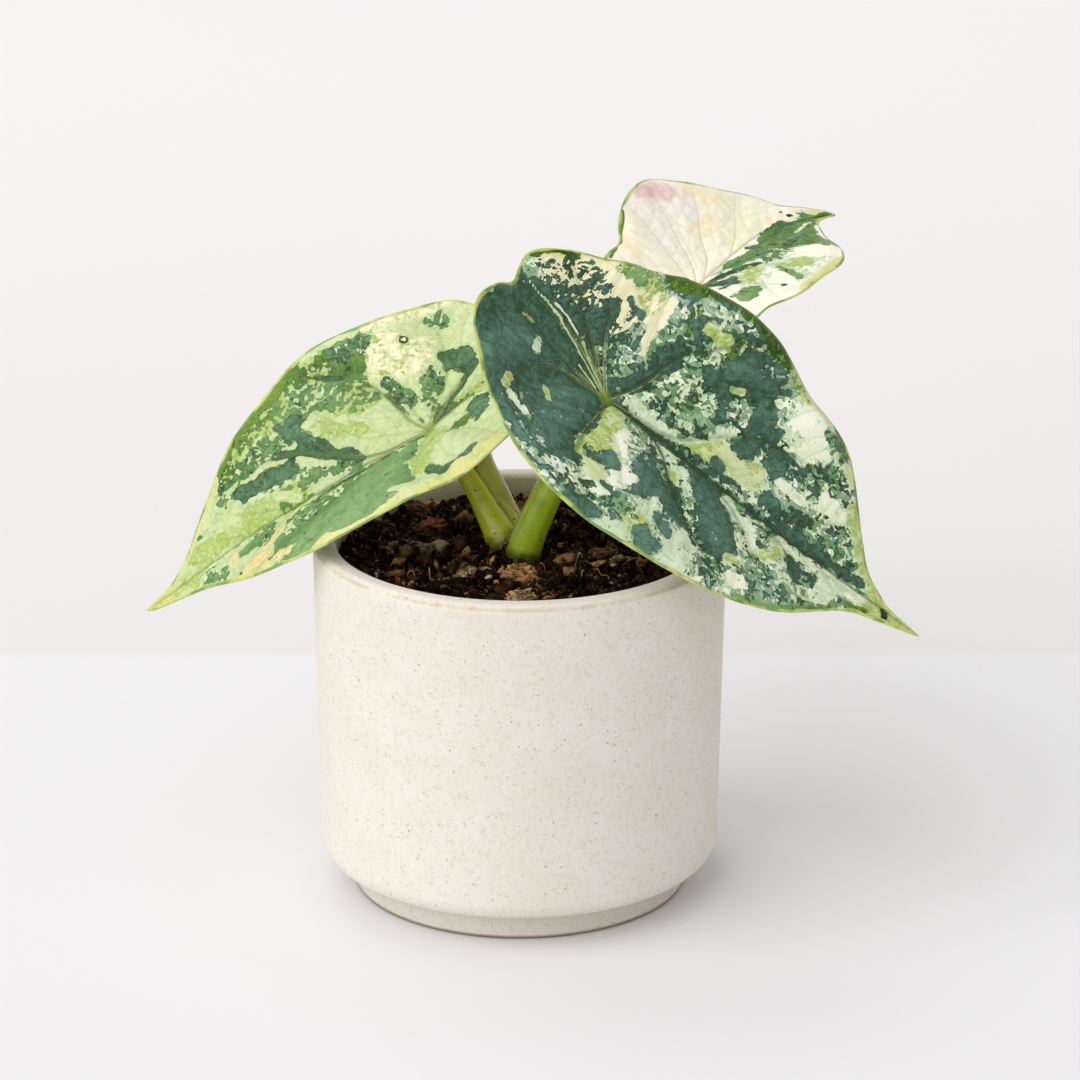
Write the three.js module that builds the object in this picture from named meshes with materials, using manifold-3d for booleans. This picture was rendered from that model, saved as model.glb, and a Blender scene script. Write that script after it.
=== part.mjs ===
// Variegated silver dragon alocasia in a speckled ceramic pot.
// Millimetres, +Z up. The origin is the middle of the pot's foot, on the surface it stands on.
// The front of the plant faces -Y.

import * as THREE from 'three';
import { mergeVertices } from 'three/addons/utils/BufferGeometryUtils.js';
import Module from 'manifold-3d';

const wasm = await Module();
wasm.setup();

// Driving dimensions

const GAP = 0.35;                 // clearance between pieces that touch

const POT = {
  height: 106.3,
  rimRadius: 60,
  bodyRadius: 58.2,               // just above the bottom edge: the wall tapers to it
  wall: 6.5,
  floor: 9.5,
  footRadius: 48.8,
  footHeight: 9.2,
  footBevel: 0.8,
  bottomRoundWide: 4,
  bottomRoundHigh: 5.5,
  lipOuter: 2.6,
  lipInner: 1.8,
  insideRound: 6,
  segments: 60,
};

const SOIL = {
  level: 100.7,                   // mean height of the top at the middle
  edgeDrop: 0.9,                  // the top sinks this much towards the wall
  lump: 1.3,                      // height of the broad lumps
  crumb: 0.55,                    // height of the small lumps
  rings: 9,
  around: 48,
};

const CROWN = { centre: [-1.6, 4.4], top: 92.6, bottom: 68, radius: 12, segments: 16 };

const BLADE = {
  thickness: 0.95,
  edgeThickness: 0.7,
  perSide: 28,
  rings: 6,
  foldRound: 3,                   // the midrib's valley is rounded over this distance
  flattenFrom: 0.45,              // from this share of the tip's distance the halves lie flatter,
  flattenTo: 0.95,                // up to this share,
  flattenBy: 0.85,                // by this much
};

const STALK = {
  sides: 12,
  step: 5,                        // distance between the rings of corners
  top: 0.8,                       // radius of the rounded end
  topGap: 0.6,                    // distance from that end to the blade's underside
};

// Compass bearings from the leaf tip, in degrees, at which each leaf's margin radius is given.
const MARGIN_BEARINGS = [0, 1, 2.5, 5, 10, 17, 27, 40, 58, 80, 100, 120, 140, 158, 171, 180];

// A leaf is heart shaped and its stalk joins it inside the margin, at the seat. heading, pitch and
// roll turn the flat leaf; droop and sway bend its midrib, in degrees per millimetre; fold and curl
// lift each half from the midrib. marginLeft and marginRight are distances from the seat to the edge.
const LEAVES = {
  front: {
    seat: [24.4, -12.6, 152.0],
    heading: -6,
    pitch: -36,
    roll: 24,
    droop: -0.12,
    droopEase: 0.0012,
    lobeCurl: 0.38,
    lobeSway: 0.68,
    sway: 0,
    fold: [20, 3],
    curl: [0.5, -0.13],
    marginLeft: [114, 103, 98.5, 93, 88, 83, 76.5, 65, 58, 49.5, 46, 45.5, 46, 50.5, 50.5, 43],
    marginRight: [114, 109.5, 102.5, 93.5, 86.5, 80.5, 71.5, 61.5, 51.5, 45, 42, 39.5, 40, 44.5, 44, 43],
    wave: { height: 0.6, count: 6, phase: 0.7 },
    rolledEdge: { from: 35, to: 125, fall: 4, start: 0.86 },
  },
  left: {
    seat: [-26, 10.8, 134.6],
    heading: -178,
    pitch: -29,
    roll: -22,
    droop: -0.13,
    droopEase: 0,
    lobeCurl: -0.1,
    lobeSway: 0,
    sway: -0.0004,
    fold: [22, 14],
    curl: [-0.18, 0.42],
    marginLeft: [101.5, 99, 92, 82.5, 74, 67.5, 61, 55, 46, 38.5, 41, 40.5, 40.5, 43.5, 43, 40.5],
    marginRight: [101.5, 94.5, 90, 85.5, 80.5, 74.5, 67, 58, 51.5, 42.5, 40, 42, 40.5, 43.5, 43, 40.5],
    wave: { height: 0.9, count: 5, phase: 3 },
    rolledEdge: null,
  },
  back: {
    seat: [52.1, 48.8, 166.0],
    heading: 59.5,
    pitch: 11,
    roll: 3,
    droop: -0.14,
    droopEase: -0.0013,
    lobeCurl: 0.1,
    lobeSway: 0,
    sway: -0.003,
    fold: [22, 12],
    curl: [0.5, -0.5],
    marginLeft: [75.5, 75.5, 74.5, 71, 63.5, 60.5, 51, 46, 43.5, 33.5, 26.5, 29.5, 31, 33.5, 33.5, 31],
    marginRight: [75.5, 69, 65, 61.5, 57.5, 53.5, 51.5, 47, 37.5, 32, 27, 29.5, 31, 33.5, 33.5, 31],
    wave: { height: 0.7, count: 4, phase: 0.5 },
    rolledEdge: null,
  },
};

// Each stalk rises from the crown through the soil by way of the given points to its leaf's seat.
const STALK_FOOT = 93;
const STALKS = {
  front: {
    foot: [0.8, -4.2],
    via: [[0.9, -4.2, 101], [8.6, -6.2, 122], [16.2, -9.2, 137], [20.9, -10.8, 145.4]],
    radii: [4.4, 4.6, 4.3, 3.6, 2.7],
  },
  left: {
    foot: [-4.2, 4.6],
    via: [[-4.5, 5, 101], [-9.6, 8, 111], [-14.8, 10.5, 119.8], [-21.4, 11.6, 128.6]],
    radii: [4.2, 4.3, 3.1, 2.5, 2.2],
  },
  back: {
    foot: [-1.5, 14],
    via: [[-1.6, 14.1, 101], [-6.3, 15.5, 111.5], [-11.6, 18.5, 122.6], [-12.5, 22, 133], [-6, 27, 141],
      [9, 34, 146.5], [27, 40.5, 150], [40, 45, 153.5], [47.5, 47.6, 159]],
    radii: [3.9, 4, 3.3, 2.9, 2.6, 2.2],
  },
};

// Loose pieces lying in the soil top: place, half sizes and turn in degrees.
const CHIPS = [
  { name: 'chip_lump', at: [0, -20.5], size: [5.4, 4.4, 3.9], turn: 10 },
  { name: 'chip_pale', at: [-15, -20], size: [4.6, 2.2, 1.7], turn: 60 },
  { name: 'chip_grey', at: [-32, 0], size: [6.6, 3.8, 2.4], turn: -20 },
  { name: 'chip_red', at: [-26, 22], size: [5.6, 3.2, 2.4], turn: 35 },
  { name: 'chip_flecked', at: [1, -39], size: [5, 3.4, 2.1], turn: 15 },
  { name: 'chip_small', at: [14, -16], size: [3.8, 2.8, 2], turn: -40 },
  { name: 'chip_right', at: [33, -12], size: [5.6, 3, 2.4], turn: 75 },
  { name: 'chip_rear_left', at: [-31, 36], size: [5, 3, 2.4], turn: -60 },
  { name: 'chip_shaded', at: [24, -3], size: [5.4, 3.3, 2.4], turn: 20 },
  { name: 'chip_rear_right', at: [20, 29], size: [5.8, 4, 2.5], turn: -15 },
  { name: 'chip_rear', at: [-4, 41], size: [5, 3, 2.1], turn: 5 },
  { name: 'chip_far_right', at: [40, 17], size: [4.8, 3.6, 2.7], turn: 50 },
];

const COLOURS = {
  glaze: [0xe4ddd2, 0.45],
  soil: [0x2b1f17, 0.95],
  bark: [0x6b4a30, 0.9],
  crown: [0x7c6a45, 0.8],
  stalkFront: [0x8fb52a, 0.35],
  stalkLeft: [0xb7b83a, 0.4],
  stalkBack: [0x9a9646, 0.45],
  leafFront: [0x4f7463, 0.5],
  leafLeft: [0xb4c98d, 0.5],
  leafBack: [0xd3dcb4, 0.5],
};

const radians = THREE.MathUtils.degToRad;

// Mesh and solid helpers

// The corners of a geometry merged, with the slivers at poles dropped.
function closedBody(geometry) {
  geometry.deleteAttribute('normal');
  geometry.deleteAttribute('uv');
  const merged = mergeVertices(geometry, 1e-4);
  const index = merged.getIndex().array;
  const kept = [];
  for (let i = 0; i < index.length; i += 3) {
    const [a, b, c] = [index[i], index[i + 1], index[i + 2]];
    if (a !== b && b !== c && c !== a) kept.push(a, b, c);
  }
  merged.setIndex(kept);
  return merged;
}

function fromCorners(corners, faces) {
  const geometry = new THREE.BufferGeometry();
  geometry.setAttribute('position', new THREE.Float32BufferAttribute(corners.flat(), 3));
  geometry.setIndex(faces);
  return geometry;
}

function toSolid(geometry) {
  return new wasm.Manifold(new wasm.Mesh({
    numProp: 3,
    vertProperties: new Float32Array(geometry.getAttribute('position').array),
    triVerts: new Uint32Array(geometry.getIndex().array),
  }));
}

function toGeometry(solid) {
  const mesh = solid.getMesh();
  const geometry = new THREE.BufferGeometry();
  geometry.setAttribute('position', new THREE.BufferAttribute(new Float32Array(mesh.vertProperties), 3));
  geometry.setIndex(new THREE.BufferAttribute(new Uint32Array(mesh.triVerts), 1));
  return geometry;
}

function subpart(name, geometry, [color, roughness]) {
  geometry.computeVertexNormals();
  const material = new THREE.MeshStandardMaterial({ color, roughness, metalness: 0 });
  const mesh = new THREE.Mesh(geometry, material);
  mesh.name = name;
  return mesh;
}

// A solid turned about +Z from (radius, height) points that start and end on the axis.
function turned(points, segments) {
  const profile = points.map(([radius, height]) => new THREE.Vector2(radius, height));
  const geometry = new THREE.LatheGeometry(profile, segments);
  geometry.rotateX(Math.PI / 2);
  return closedBody(geometry);
}

// Points on an elliptical arc, both ends included.
function arc(centre, [wide, high], from, to, steps) {
  return Array.from({ length: steps + 1 }, (_, i) => {
    const angle = radians(from + ((to - from) * i) / steps);
    return [centre[0] + wide * Math.cos(angle), centre[1] + high * Math.sin(angle)];
  });
}

// Pot

const potInnerTop = POT.rimRadius - POT.wall;
const potInnerLow = POT.bodyRadius - POT.wall;

// Radius of the pot's inside at a height.
function insideRadius(height) {
  return THREE.MathUtils.mapLinear(height, POT.floor, POT.height, potInnerLow, potInnerTop);
}

function potGeometry() {
  const { height, rimRadius, bodyRadius, footRadius, footHeight, footBevel, floor } = POT;
  const { bottomRoundWide, bottomRoundHigh, lipOuter, lipInner, insideRound } = POT;
  const lipMiddle = [rimRadius - lipOuter, height - lipOuter];
  const innerLipMiddle = [potInnerTop + lipInner, height - lipInner];
  const bottomMiddle = [bodyRadius - bottomRoundWide, footHeight + bottomRoundHigh];
  const insideMiddle = [potInnerLow - insideRound, floor + insideRound];
  return turned([
    [0, 0],
    [footRadius - footBevel, 0],
    [footRadius, footBevel],
    [footRadius, footHeight],
    ...arc(bottomMiddle, [bottomRoundWide, bottomRoundHigh], -90, 0, 4),
    ...arc(lipMiddle, [lipOuter, lipOuter], 0, 90, 3),
    ...arc(innerLipMiddle, [lipInner, lipInner], 90, 180, 2),
    ...arc(insideMiddle, [insideRound, insideRound], 0, -90, 3),
    [0, floor],
  ], POT.segments);
}

// Soil

// Height of the soil's top: broad and small lumps over a top that sinks a little to the wall.
function soilTop(x, y) {
  const out = Math.hypot(x, y) / potInnerTop;
  const broad = Math.sin(x * 0.21 + 1.3) * Math.cos(y * 0.19 - 0.4) + 0.5 * Math.sin((x + y) * 0.13);
  const small = Math.sin(x * 0.53 - y * 0.31) * Math.cos(y * 0.61 + x * 0.17 + 0.8);
  return SOIL.level - SOIL.edgeDrop * out * out + SOIL.lump * broad * 0.7 + SOIL.crumb * small;
}

// The filling: a lumpy top on a plug that follows the inside of the pot.
function soilGeometry() {
  const { rings, around } = SOIL;
  const corners = [[0, 0, soilTop(0, 0)]];
  const ring = (radius, heightAt) => {
    for (let k = 0; k < around; k += 1) {
      const angle = (2 * Math.PI * k) / around;
      const x = radius * Math.cos(angle);
      const y = radius * Math.sin(angle);
      corners.push([x, y, heightAt(x, y)]);
    }
  };
  const topRadius = insideRadius(SOIL.level) - GAP;
  for (let i = 1; i <= rings; i += 1) ring((topRadius * i) / rings, soilTop);
  const roundEnd = POT.floor + POT.insideRound + GAP;
  ring(insideRadius(roundEnd) - GAP, () => roundEnd);
  ring(insideRadius(roundEnd) - GAP - POT.insideRound, () => POT.floor + GAP);
  corners.push([0, 0, POT.floor + GAP]);

  const faces = [];
  const at = (i, k) => 1 + (i - 1) * around + (k % around);
  const last = rings + 2;
  for (let k = 0; k < around; k += 1) {
    faces.push(0, at(1, k), at(1, k + 1));
    for (let i = 1; i < last; i += 1) {
      faces.push(at(i, k), at(i + 1, k), at(i + 1, k + 1));
      faces.push(at(i, k), at(i + 1, k + 1), at(i, k + 1));
    }
    faces.push(at(last, k), corners.length - 1, at(last, k + 1));
  }
  return fromCorners(corners, faces);
}

// Crown

// The short knobbly rhizome under the soil that the stalks stand on.
function crownGeometry(grow = 0) {
  const { centre, top, bottom, radius, segments } = CROWN;
  const high = top - bottom;
  const geometry = turned([
    [0, bottom - grow],
    [radius * 0.5 + grow, bottom + high * 0.05 - grow],
    [radius * 0.88 + grow, bottom + high * 0.25],
    [radius + grow, bottom + high * 0.6],
    [radius * 0.92 + grow, top - 1.4],
    [radius * 0.8 + grow, top + grow],
    [0, top + grow],
  ], segments);
  geometry.translate(centre[0], centre[1], 0);
  return geometry;
}

// Leaf blades

// Distance from the seat to the margin at a bearing in degrees: smooth between the given points,
// with a sharp point at the tip.
function marginRadius(leaf, bearing) {
  const count = MARGIN_BEARINGS.length;
  const bearings = [...MARGIN_BEARINGS];
  const values = [...leaf.marginLeft];
  for (let i = count - 2; i >= 0; i -= 1) {
    bearings.push(360 - MARGIN_BEARINGS[i]);
    values.push(leaf.marginRight[i]);
  }
  const end = bearings.length - 1;
  const slope = (i) => (values[i + 1] - values[i]) / (bearings[i + 1] - bearings[i]);
  const tangent = (i) => {
    if (i === 0) return slope(0);
    if (i === end) return slope(end - 1);
    const before = bearings[i] - bearings[i - 1];
    const after = bearings[i + 1] - bearings[i];
    return (slope(i - 1) * before + slope(i) * after) / (before + after);
  };
  let i = 0;
  while (i < end - 1 && bearing >= bearings[i + 1]) i += 1;
  const span = bearings[i + 1] - bearings[i];
  const t = (bearing - bearings[i]) / span;
  const t2 = t * t;
  const t3 = t2 * t;
  return (2 * t3 - 3 * t2 + 1) * values[i] + (t3 - 2 * t2 + t) * span * tangent(i)
    + (3 * t2 - 2 * t3) * values[i + 1] + (t3 - t2) * span * tangent(i + 1);
}

// A point of the flat leaf, along its midrib and to the left of it, bent into the leaf's own frame:
// the midrib curves by droop and sway, and each half rises from it by fold and curl.
function bentPoint(leaf, along, left) {
  const parts = 12;
  const pitchAt = (a) => radians(a > 0 ? leaf.droop * a + leaf.droopEase * a * a : leaf.lobeCurl * a);
  const swayAt = (a) => radians(a > 0 ? leaf.sway * a * a : leaf.lobeSway * a);
  const half = left > 0 ? 0 : 1;
  const tip = leaf.marginLeft[0];
  const flat = 1 - BLADE.flattenBy
    * THREE.MathUtils.smoothstep(along, BLADE.flattenFrom * tip, BLADE.flattenTo * tip);
  const out = Math.abs(left);
  const midrib = new THREE.Vector3();
  let across = 0;
  let lift = 0;
  for (let i = 0; i < parts; i += 1) {
    const t = (i + 0.5) / parts;
    const pitch = pitchAt(along * t);
    const sway = swayAt(along * t);
    midrib.x += (Math.cos(pitch) * Math.cos(sway) * along) / parts;
    midrib.y += (Math.cos(pitch) * Math.sin(sway) * along) / parts;
    midrib.z += (Math.sin(pitch) * along) / parts;
    const folded = leaf.fold[half] * (1 - Math.exp((-out * t) / BLADE.foldRound));
    const rise = flat * (folded + leaf.curl[half] * out * t);
    across += (Math.cos(radians(rise)) * out) / parts;
    lift += (Math.sin(radians(rise)) * out) / parts;
  }
  const pitch = pitchAt(along);
  const sway = swayAt(along);
  const side = Math.sign(left) * across;
  return new THREE.Vector3(
    midrib.x - lift * Math.sin(pitch) - side * Math.sin(sway),
    midrib.y + side * Math.cos(sway),
    midrib.z + lift * Math.cos(pitch),
  );
}

// A point of the blade's middle surface at a bearing and at reach, 0 at the seat and 1 at the margin.
function bladePoint(leaf, bearing, reach) {
  const radius = marginRadius(leaf, bearing) * reach;
  const angle = radians(bearing);
  const point = bentPoint(leaf, radius * Math.cos(angle), radius * Math.sin(angle));
  const { wave, rolledEdge } = leaf;
  const signed = bearing > 180 ? angle - 2 * Math.PI : angle;
  point.z += wave.height * reach ** 3 * Math.sin(wave.count * signed + wave.phase);
  if (rolledEdge) {
    const { smoothstep } = THREE.MathUtils;
    const window = smoothstep(bearing, rolledEdge.from - 15, rolledEdge.from + 12)
      * (1 - smoothstep(bearing, rolledEdge.to - 12, rolledEdge.to + 15));
    const edge = Math.max(0, (reach - rolledEdge.start) / (1 - rolledEdge.start));
    point.z -= rolledEdge.fall * window * edge * edge;
  }
  return point;
}

// The leaf's frame: x towards the tip, y to the left, z out of the upper face.
function leafFrame(leaf) {
  const heading = radians(leaf.heading);
  const pitch = radians(leaf.pitch);
  const roll = radians(leaf.roll);
  const tipward = new THREE.Vector3(
    Math.cos(heading) * Math.cos(pitch),
    Math.sin(heading) * Math.cos(pitch),
    Math.sin(pitch),
  );
  const level = new THREE.Vector3(-Math.sin(heading), Math.cos(heading), 0);
  const upright = tipward.clone().cross(level);
  const leftward = level.multiplyScalar(Math.cos(roll)).addScaledVector(upright, Math.sin(roll));
  const upward = tipward.clone().cross(leftward);
  return new THREE.Matrix4().makeBasis(tipward, leftward, upward).setPosition(...leaf.seat);
}

// The bearings of the blade's mesh: close together at the tip, wider apart at the lobes.
function meshBearings() {
  const { perSide } = BLADE;
  const spread = (f) => 180 * (0.35 * f + 0.65 * f * f);
  return Array.from({ length: 2 * perSide }, (_, k) => {
    const f = k / perSide;
    return f <= 1 ? spread(f) : 360 - spread(2 - f);
  });
}

// The blade: its middle surface thickened to both sides, split into triangles alike on both faces.
function bladeGeometry(leaf) {
  const bearings = meshBearings();
  const around = bearings.length;
  const step = 0.004;
  const upper = [[0, 0, BLADE.thickness / 2]];
  const lower = [[0, 0, -BLADE.thickness / 2]];
  for (let i = 1; i <= BLADE.rings; i += 1) {
    const reach = 1 - (1 - i / BLADE.rings) ** 1.35;
    for (let k = 0; k < around; k += 1) {
      const point = bladePoint(leaf, bearings[k], reach);
      const inner = bladePoint(leaf, bearings[k], reach - step);
      const beside = bentPoint(leaf, 0, 0);
      const before = bladePoint(leaf, bearings[(k + around - 1) % around], reach);
      const after = bladePoint(leaf, bearings[(k + 1) % around], reach);
      const outward = point.clone().sub(reach > step ? inner : beside);
      const normal = outward.cross(after.sub(before)).normalize();
      const half = THREE.MathUtils.lerp(BLADE.thickness, BLADE.edgeThickness, reach ** 4) / 2;
      upper.push(point.clone().addScaledVector(normal, half).toArray());
      lower.push(point.clone().addScaledVector(normal, -half).toArray());
    }
  }
  const faces = [];
  const base = upper.length;
  const at = (i, k) => 1 + (i - 1) * around + (k % around);
  const both = (a, b, c) => faces.push(a, b, c, base + a, base + c, base + b);
  for (let k = 0; k < around; k += 1) {
    both(0, at(1, k), at(1, k + 1));
    for (let i = 1; i < BLADE.rings; i += 1) {
      both(at(i, k), at(i + 1, k), at(i + 1, k + 1));
      both(at(i, k), at(i + 1, k + 1), at(i, k + 1));
    }
    const [here, next] = [at(BLADE.rings, k), at(BLADE.rings, k + 1)];
    faces.push(here, base + here, base + next);
    faces.push(here, base + next, next);
  }
  const geometry = fromCorners([...upper, ...lower], faces);
  geometry.applyMatrix4(leafFrame(leaf));
  return geometry;
}

// Leaf stalks

// A round stalk along a smooth path, its radius changing evenly between the given radii.
function stalkGeometry(stalk, leaf, grow = 0) {
  const upward = new THREE.Vector3().setFromMatrixColumn(leafFrame(leaf), 2);
  const end = new THREE.Vector3(...leaf.seat)
    .addScaledVector(upward, -(BLADE.thickness / 2 + STALK.topGap));
  const path = new THREE.CatmullRomCurve3([
    new THREE.Vector3(...stalk.foot, STALK_FOOT - grow),
    ...stalk.via.map((point) => new THREE.Vector3(...point)),
    end,
  ], false, 'centripetal');
  const { sides, top } = STALK;
  const steps = Math.round(path.getLength() / STALK.step);
  const frames = path.computeFrenetFrames(steps, false);
  const corners = [];
  for (let i = 0; i <= steps; i += 1) {
    const t = i / steps;
    const place = path.getPointAt(t);
    const slot = t * (stalk.radii.length - 1);
    const from = Math.min(Math.floor(slot), stalk.radii.length - 2);
    const radius = i === steps
      ? top
      : THREE.MathUtils.lerp(stalk.radii[from], stalk.radii[from + 1], slot - from);
    for (let k = 0; k < sides; k += 1) {
      const angle = (2 * Math.PI * k) / sides;
      const corner = place.clone()
        .addScaledVector(frames.normals[i], (radius + grow) * Math.cos(angle))
        .addScaledVector(frames.binormals[i], (radius + grow) * Math.sin(angle));
      corners.push(corner.toArray());
    }
  }
  const footMiddle = corners.push(path.getPointAt(0).toArray()) - 1;
  const endMiddle = corners.push(path.getPointAt(1).toArray()) - 1;
  const faces = [];
  const at = (i, k) => i * sides + (k % sides);
  for (let k = 0; k < sides; k += 1) {
    faces.push(footMiddle, at(0, k + 1), at(0, k));
    faces.push(endMiddle, at(steps, k), at(steps, k + 1));
    for (let i = 0; i < steps; i += 1) {
      faces.push(at(i, k), at(i, k + 1), at(i + 1, k + 1));
      faces.push(at(i, k), at(i + 1, k + 1), at(i + 1, k));
    }
  }
  return fromCorners(corners, faces);
}

// Bark chips

// An even random number from 0 to 1 for a whole number seed.
function seeded(seed) {
  const value = Math.sin(seed * 127.1 + 11.7) * 43758.5453;
  return value - Math.floor(value);
}

// A rough lump, longer one way, half sunk in the soil.
function chipGeometry(chip, number, grow = 0) {
  const geometry = closedBody(new THREE.IcosahedronGeometry(1, 1));
  const position = geometry.getAttribute('position');
  const point = new THREE.Vector3();
  for (let i = 0; i < position.count; i += 1) {
    point.fromBufferAttribute(position, i);
    const rough = 0.76 + 0.36 * seeded(number * 57 + i);
    const [wide, deep, high] = chip.size.map((size) => size * rough + grow);
    position.setXYZ(i, point.x * wide, point.y * deep, point.z * high);
  }
  geometry.rotateZ(radians(chip.turn));
  const [x, y] = chip.at;
  geometry.translate(x, y, soilTop(x, y) + chip.size[2] * 0.12);
  return geometry;
}

// Assembly

const plant = new THREE.Group();
plant.add(subpart('pot', potGeometry(), COLOURS.glaze));

// The soil with a plain hole for each stalk, a hollow for the crown and a pit under each chip.
let soil = toSolid(soilGeometry()).subtract(toSolid(crownGeometry(GAP)));
for (const side of Object.keys(LEAVES)) {
  soil = soil.subtract(toSolid(stalkGeometry(STALKS[side], LEAVES[side], GAP)));
}
CHIPS.forEach((chip, number) => {
  soil = soil.subtract(toSolid(chipGeometry(chip, number, GAP)));
});
plant.add(subpart('soil', toGeometry(soil), COLOURS.soil));
plant.add(subpart('crown', crownGeometry(), COLOURS.crown));

CHIPS.forEach((chip, number) => {
  plant.add(subpart(chip.name, chipGeometry(chip, number), COLOURS.bark));
});

const stalkColours = { front: COLOURS.stalkFront, left: COLOURS.stalkLeft, back: COLOURS.stalkBack };
const leafColours = { front: COLOURS.leafFront, left: COLOURS.leafLeft, back: COLOURS.leafBack };
for (const [side, leaf] of Object.entries(LEAVES)) {
  plant.add(subpart(`petiole_${side}`, stalkGeometry(STALKS[side], leaf), stalkColours[side]));
  plant.add(subpart(`blade_${side}`, bladeGeometry(leaf), leafColours[side]));
}

export default plant;
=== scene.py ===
"""A potted variegated silver dragon alocasia: the looks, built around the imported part."""

import bpy
import numpy as np
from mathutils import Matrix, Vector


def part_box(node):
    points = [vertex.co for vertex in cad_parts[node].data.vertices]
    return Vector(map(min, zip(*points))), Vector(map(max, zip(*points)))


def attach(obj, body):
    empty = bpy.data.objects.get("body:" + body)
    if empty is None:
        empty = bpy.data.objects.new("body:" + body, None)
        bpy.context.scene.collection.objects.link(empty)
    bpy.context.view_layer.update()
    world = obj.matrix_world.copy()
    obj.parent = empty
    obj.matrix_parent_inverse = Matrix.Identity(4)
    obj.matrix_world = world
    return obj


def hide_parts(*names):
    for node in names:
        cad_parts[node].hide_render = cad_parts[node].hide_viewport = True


bl_info = {
    "name": "Potted Silver Dragon",
    "version": (1, 0, 0),
    "blender": (4, 5, 0),
    "location": "3D View > Sidebar > Potted Plant",
    "description": "Builds a variegated aroid in a speckled stoneware pot around its CAD frame",
    "category": "Object",
}

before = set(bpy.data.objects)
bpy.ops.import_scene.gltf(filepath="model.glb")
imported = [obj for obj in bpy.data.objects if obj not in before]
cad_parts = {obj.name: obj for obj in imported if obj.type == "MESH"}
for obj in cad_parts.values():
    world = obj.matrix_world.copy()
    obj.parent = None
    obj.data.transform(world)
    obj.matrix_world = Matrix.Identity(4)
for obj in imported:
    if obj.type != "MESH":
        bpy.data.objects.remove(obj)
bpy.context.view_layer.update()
POT_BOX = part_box("pot")

MM = 0.001
BODY = "root"
rng = np.random.default_rng

# Leaf shapes, in millimetres and degrees, as in the CAD part. A pair is for the left and the right half,
# or, for droop, the part in step with the distance and the part with its square. A wave has its height,
# its number round the leaf and its phase, and a rolled edge its first and last bearing, its fall and the
# reach where it begins. The last two rows are the distances from the seat to the margin.

MARGIN_BEARINGS = [0, 1, 2.5, 5, 10, 17, 27, 40, 58, 80, 100, 120, 140, 158, 171, 180]
FOLD_ROUND = 3.0
FLATTEN = (0.45, 0.95, 0.85)      # the fold eases from and up to these shares of the tip's distance, by this
BLADE_THICKNESS = 0.95
EDGE_THICKNESS = 0.6

LEAVES = {
    "front": {
        "seat": (24.4, -12.6, 152.0), "heading": -6, "pitch": -36, "roll": 24,
        "droop": (-0.12, 0.0012), "lobe_curl": 0.38, "sway": 0, "lobe_sway": 0.68,
        "fold": (20, 3), "curl": (0.5, -0.13), "wave": (0.6, 6, 0.7), "rolled_edge": (35, 125, 4, 0.86),
        "left": [114, 103, 98.5, 93, 88, 83, 76.5, 65, 58, 49.5, 46, 45.5, 46, 50.5, 50.5, 43],
        "right": [114, 109.5, 102.5, 93.5, 86.5, 80.5, 71.5, 61.5, 51.5, 45, 42, 39.5, 40, 44.5, 44, 43],
    },
    "left": {
        "seat": (-26, 10.8, 134.6), "heading": -178, "pitch": -29, "roll": -22,
        "droop": (-0.13, 0), "lobe_curl": -0.1, "sway": -0.0004, "lobe_sway": 0,
        "fold": (22, 14), "curl": (-0.18, 0.42), "wave": (0.9, 5, 3), "rolled_edge": None,
        "left": [101.5, 99, 92, 82.5, 74, 67.5, 61, 55, 46, 38.5, 41, 40.5, 40.5, 43.5, 43, 40.5],
        "right": [101.5, 94.5, 90, 85.5, 80.5, 74.5, 67, 58, 51.5, 42.5, 40, 42, 40.5, 43.5, 43, 40.5],
    },
    "back": {
        "seat": (52.1, 48.8, 166.0), "heading": 59.5, "pitch": 11, "roll": 3,
        "droop": (-0.14, -0.0013), "lobe_curl": 0.1, "sway": -0.003, "lobe_sway": 0,
        "fold": (22, 12), "curl": (0.5, -0.5), "wave": (0.7, 4, 0.5), "rolled_edge": None,
        "left": [75.5, 75.5, 74.5, 71, 63.5, 60.5, 51, 46, 43.5, 33.5, 26.5, 29.5, 31, 33.5, 33.5, 31],
        "right": [75.5, 69, 65, 61.5, 57.5, 53.5, 51.5, 47, 37.5, 32, 27, 29.5, 31, 33.5, 33.5, 31],
    },
}

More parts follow.
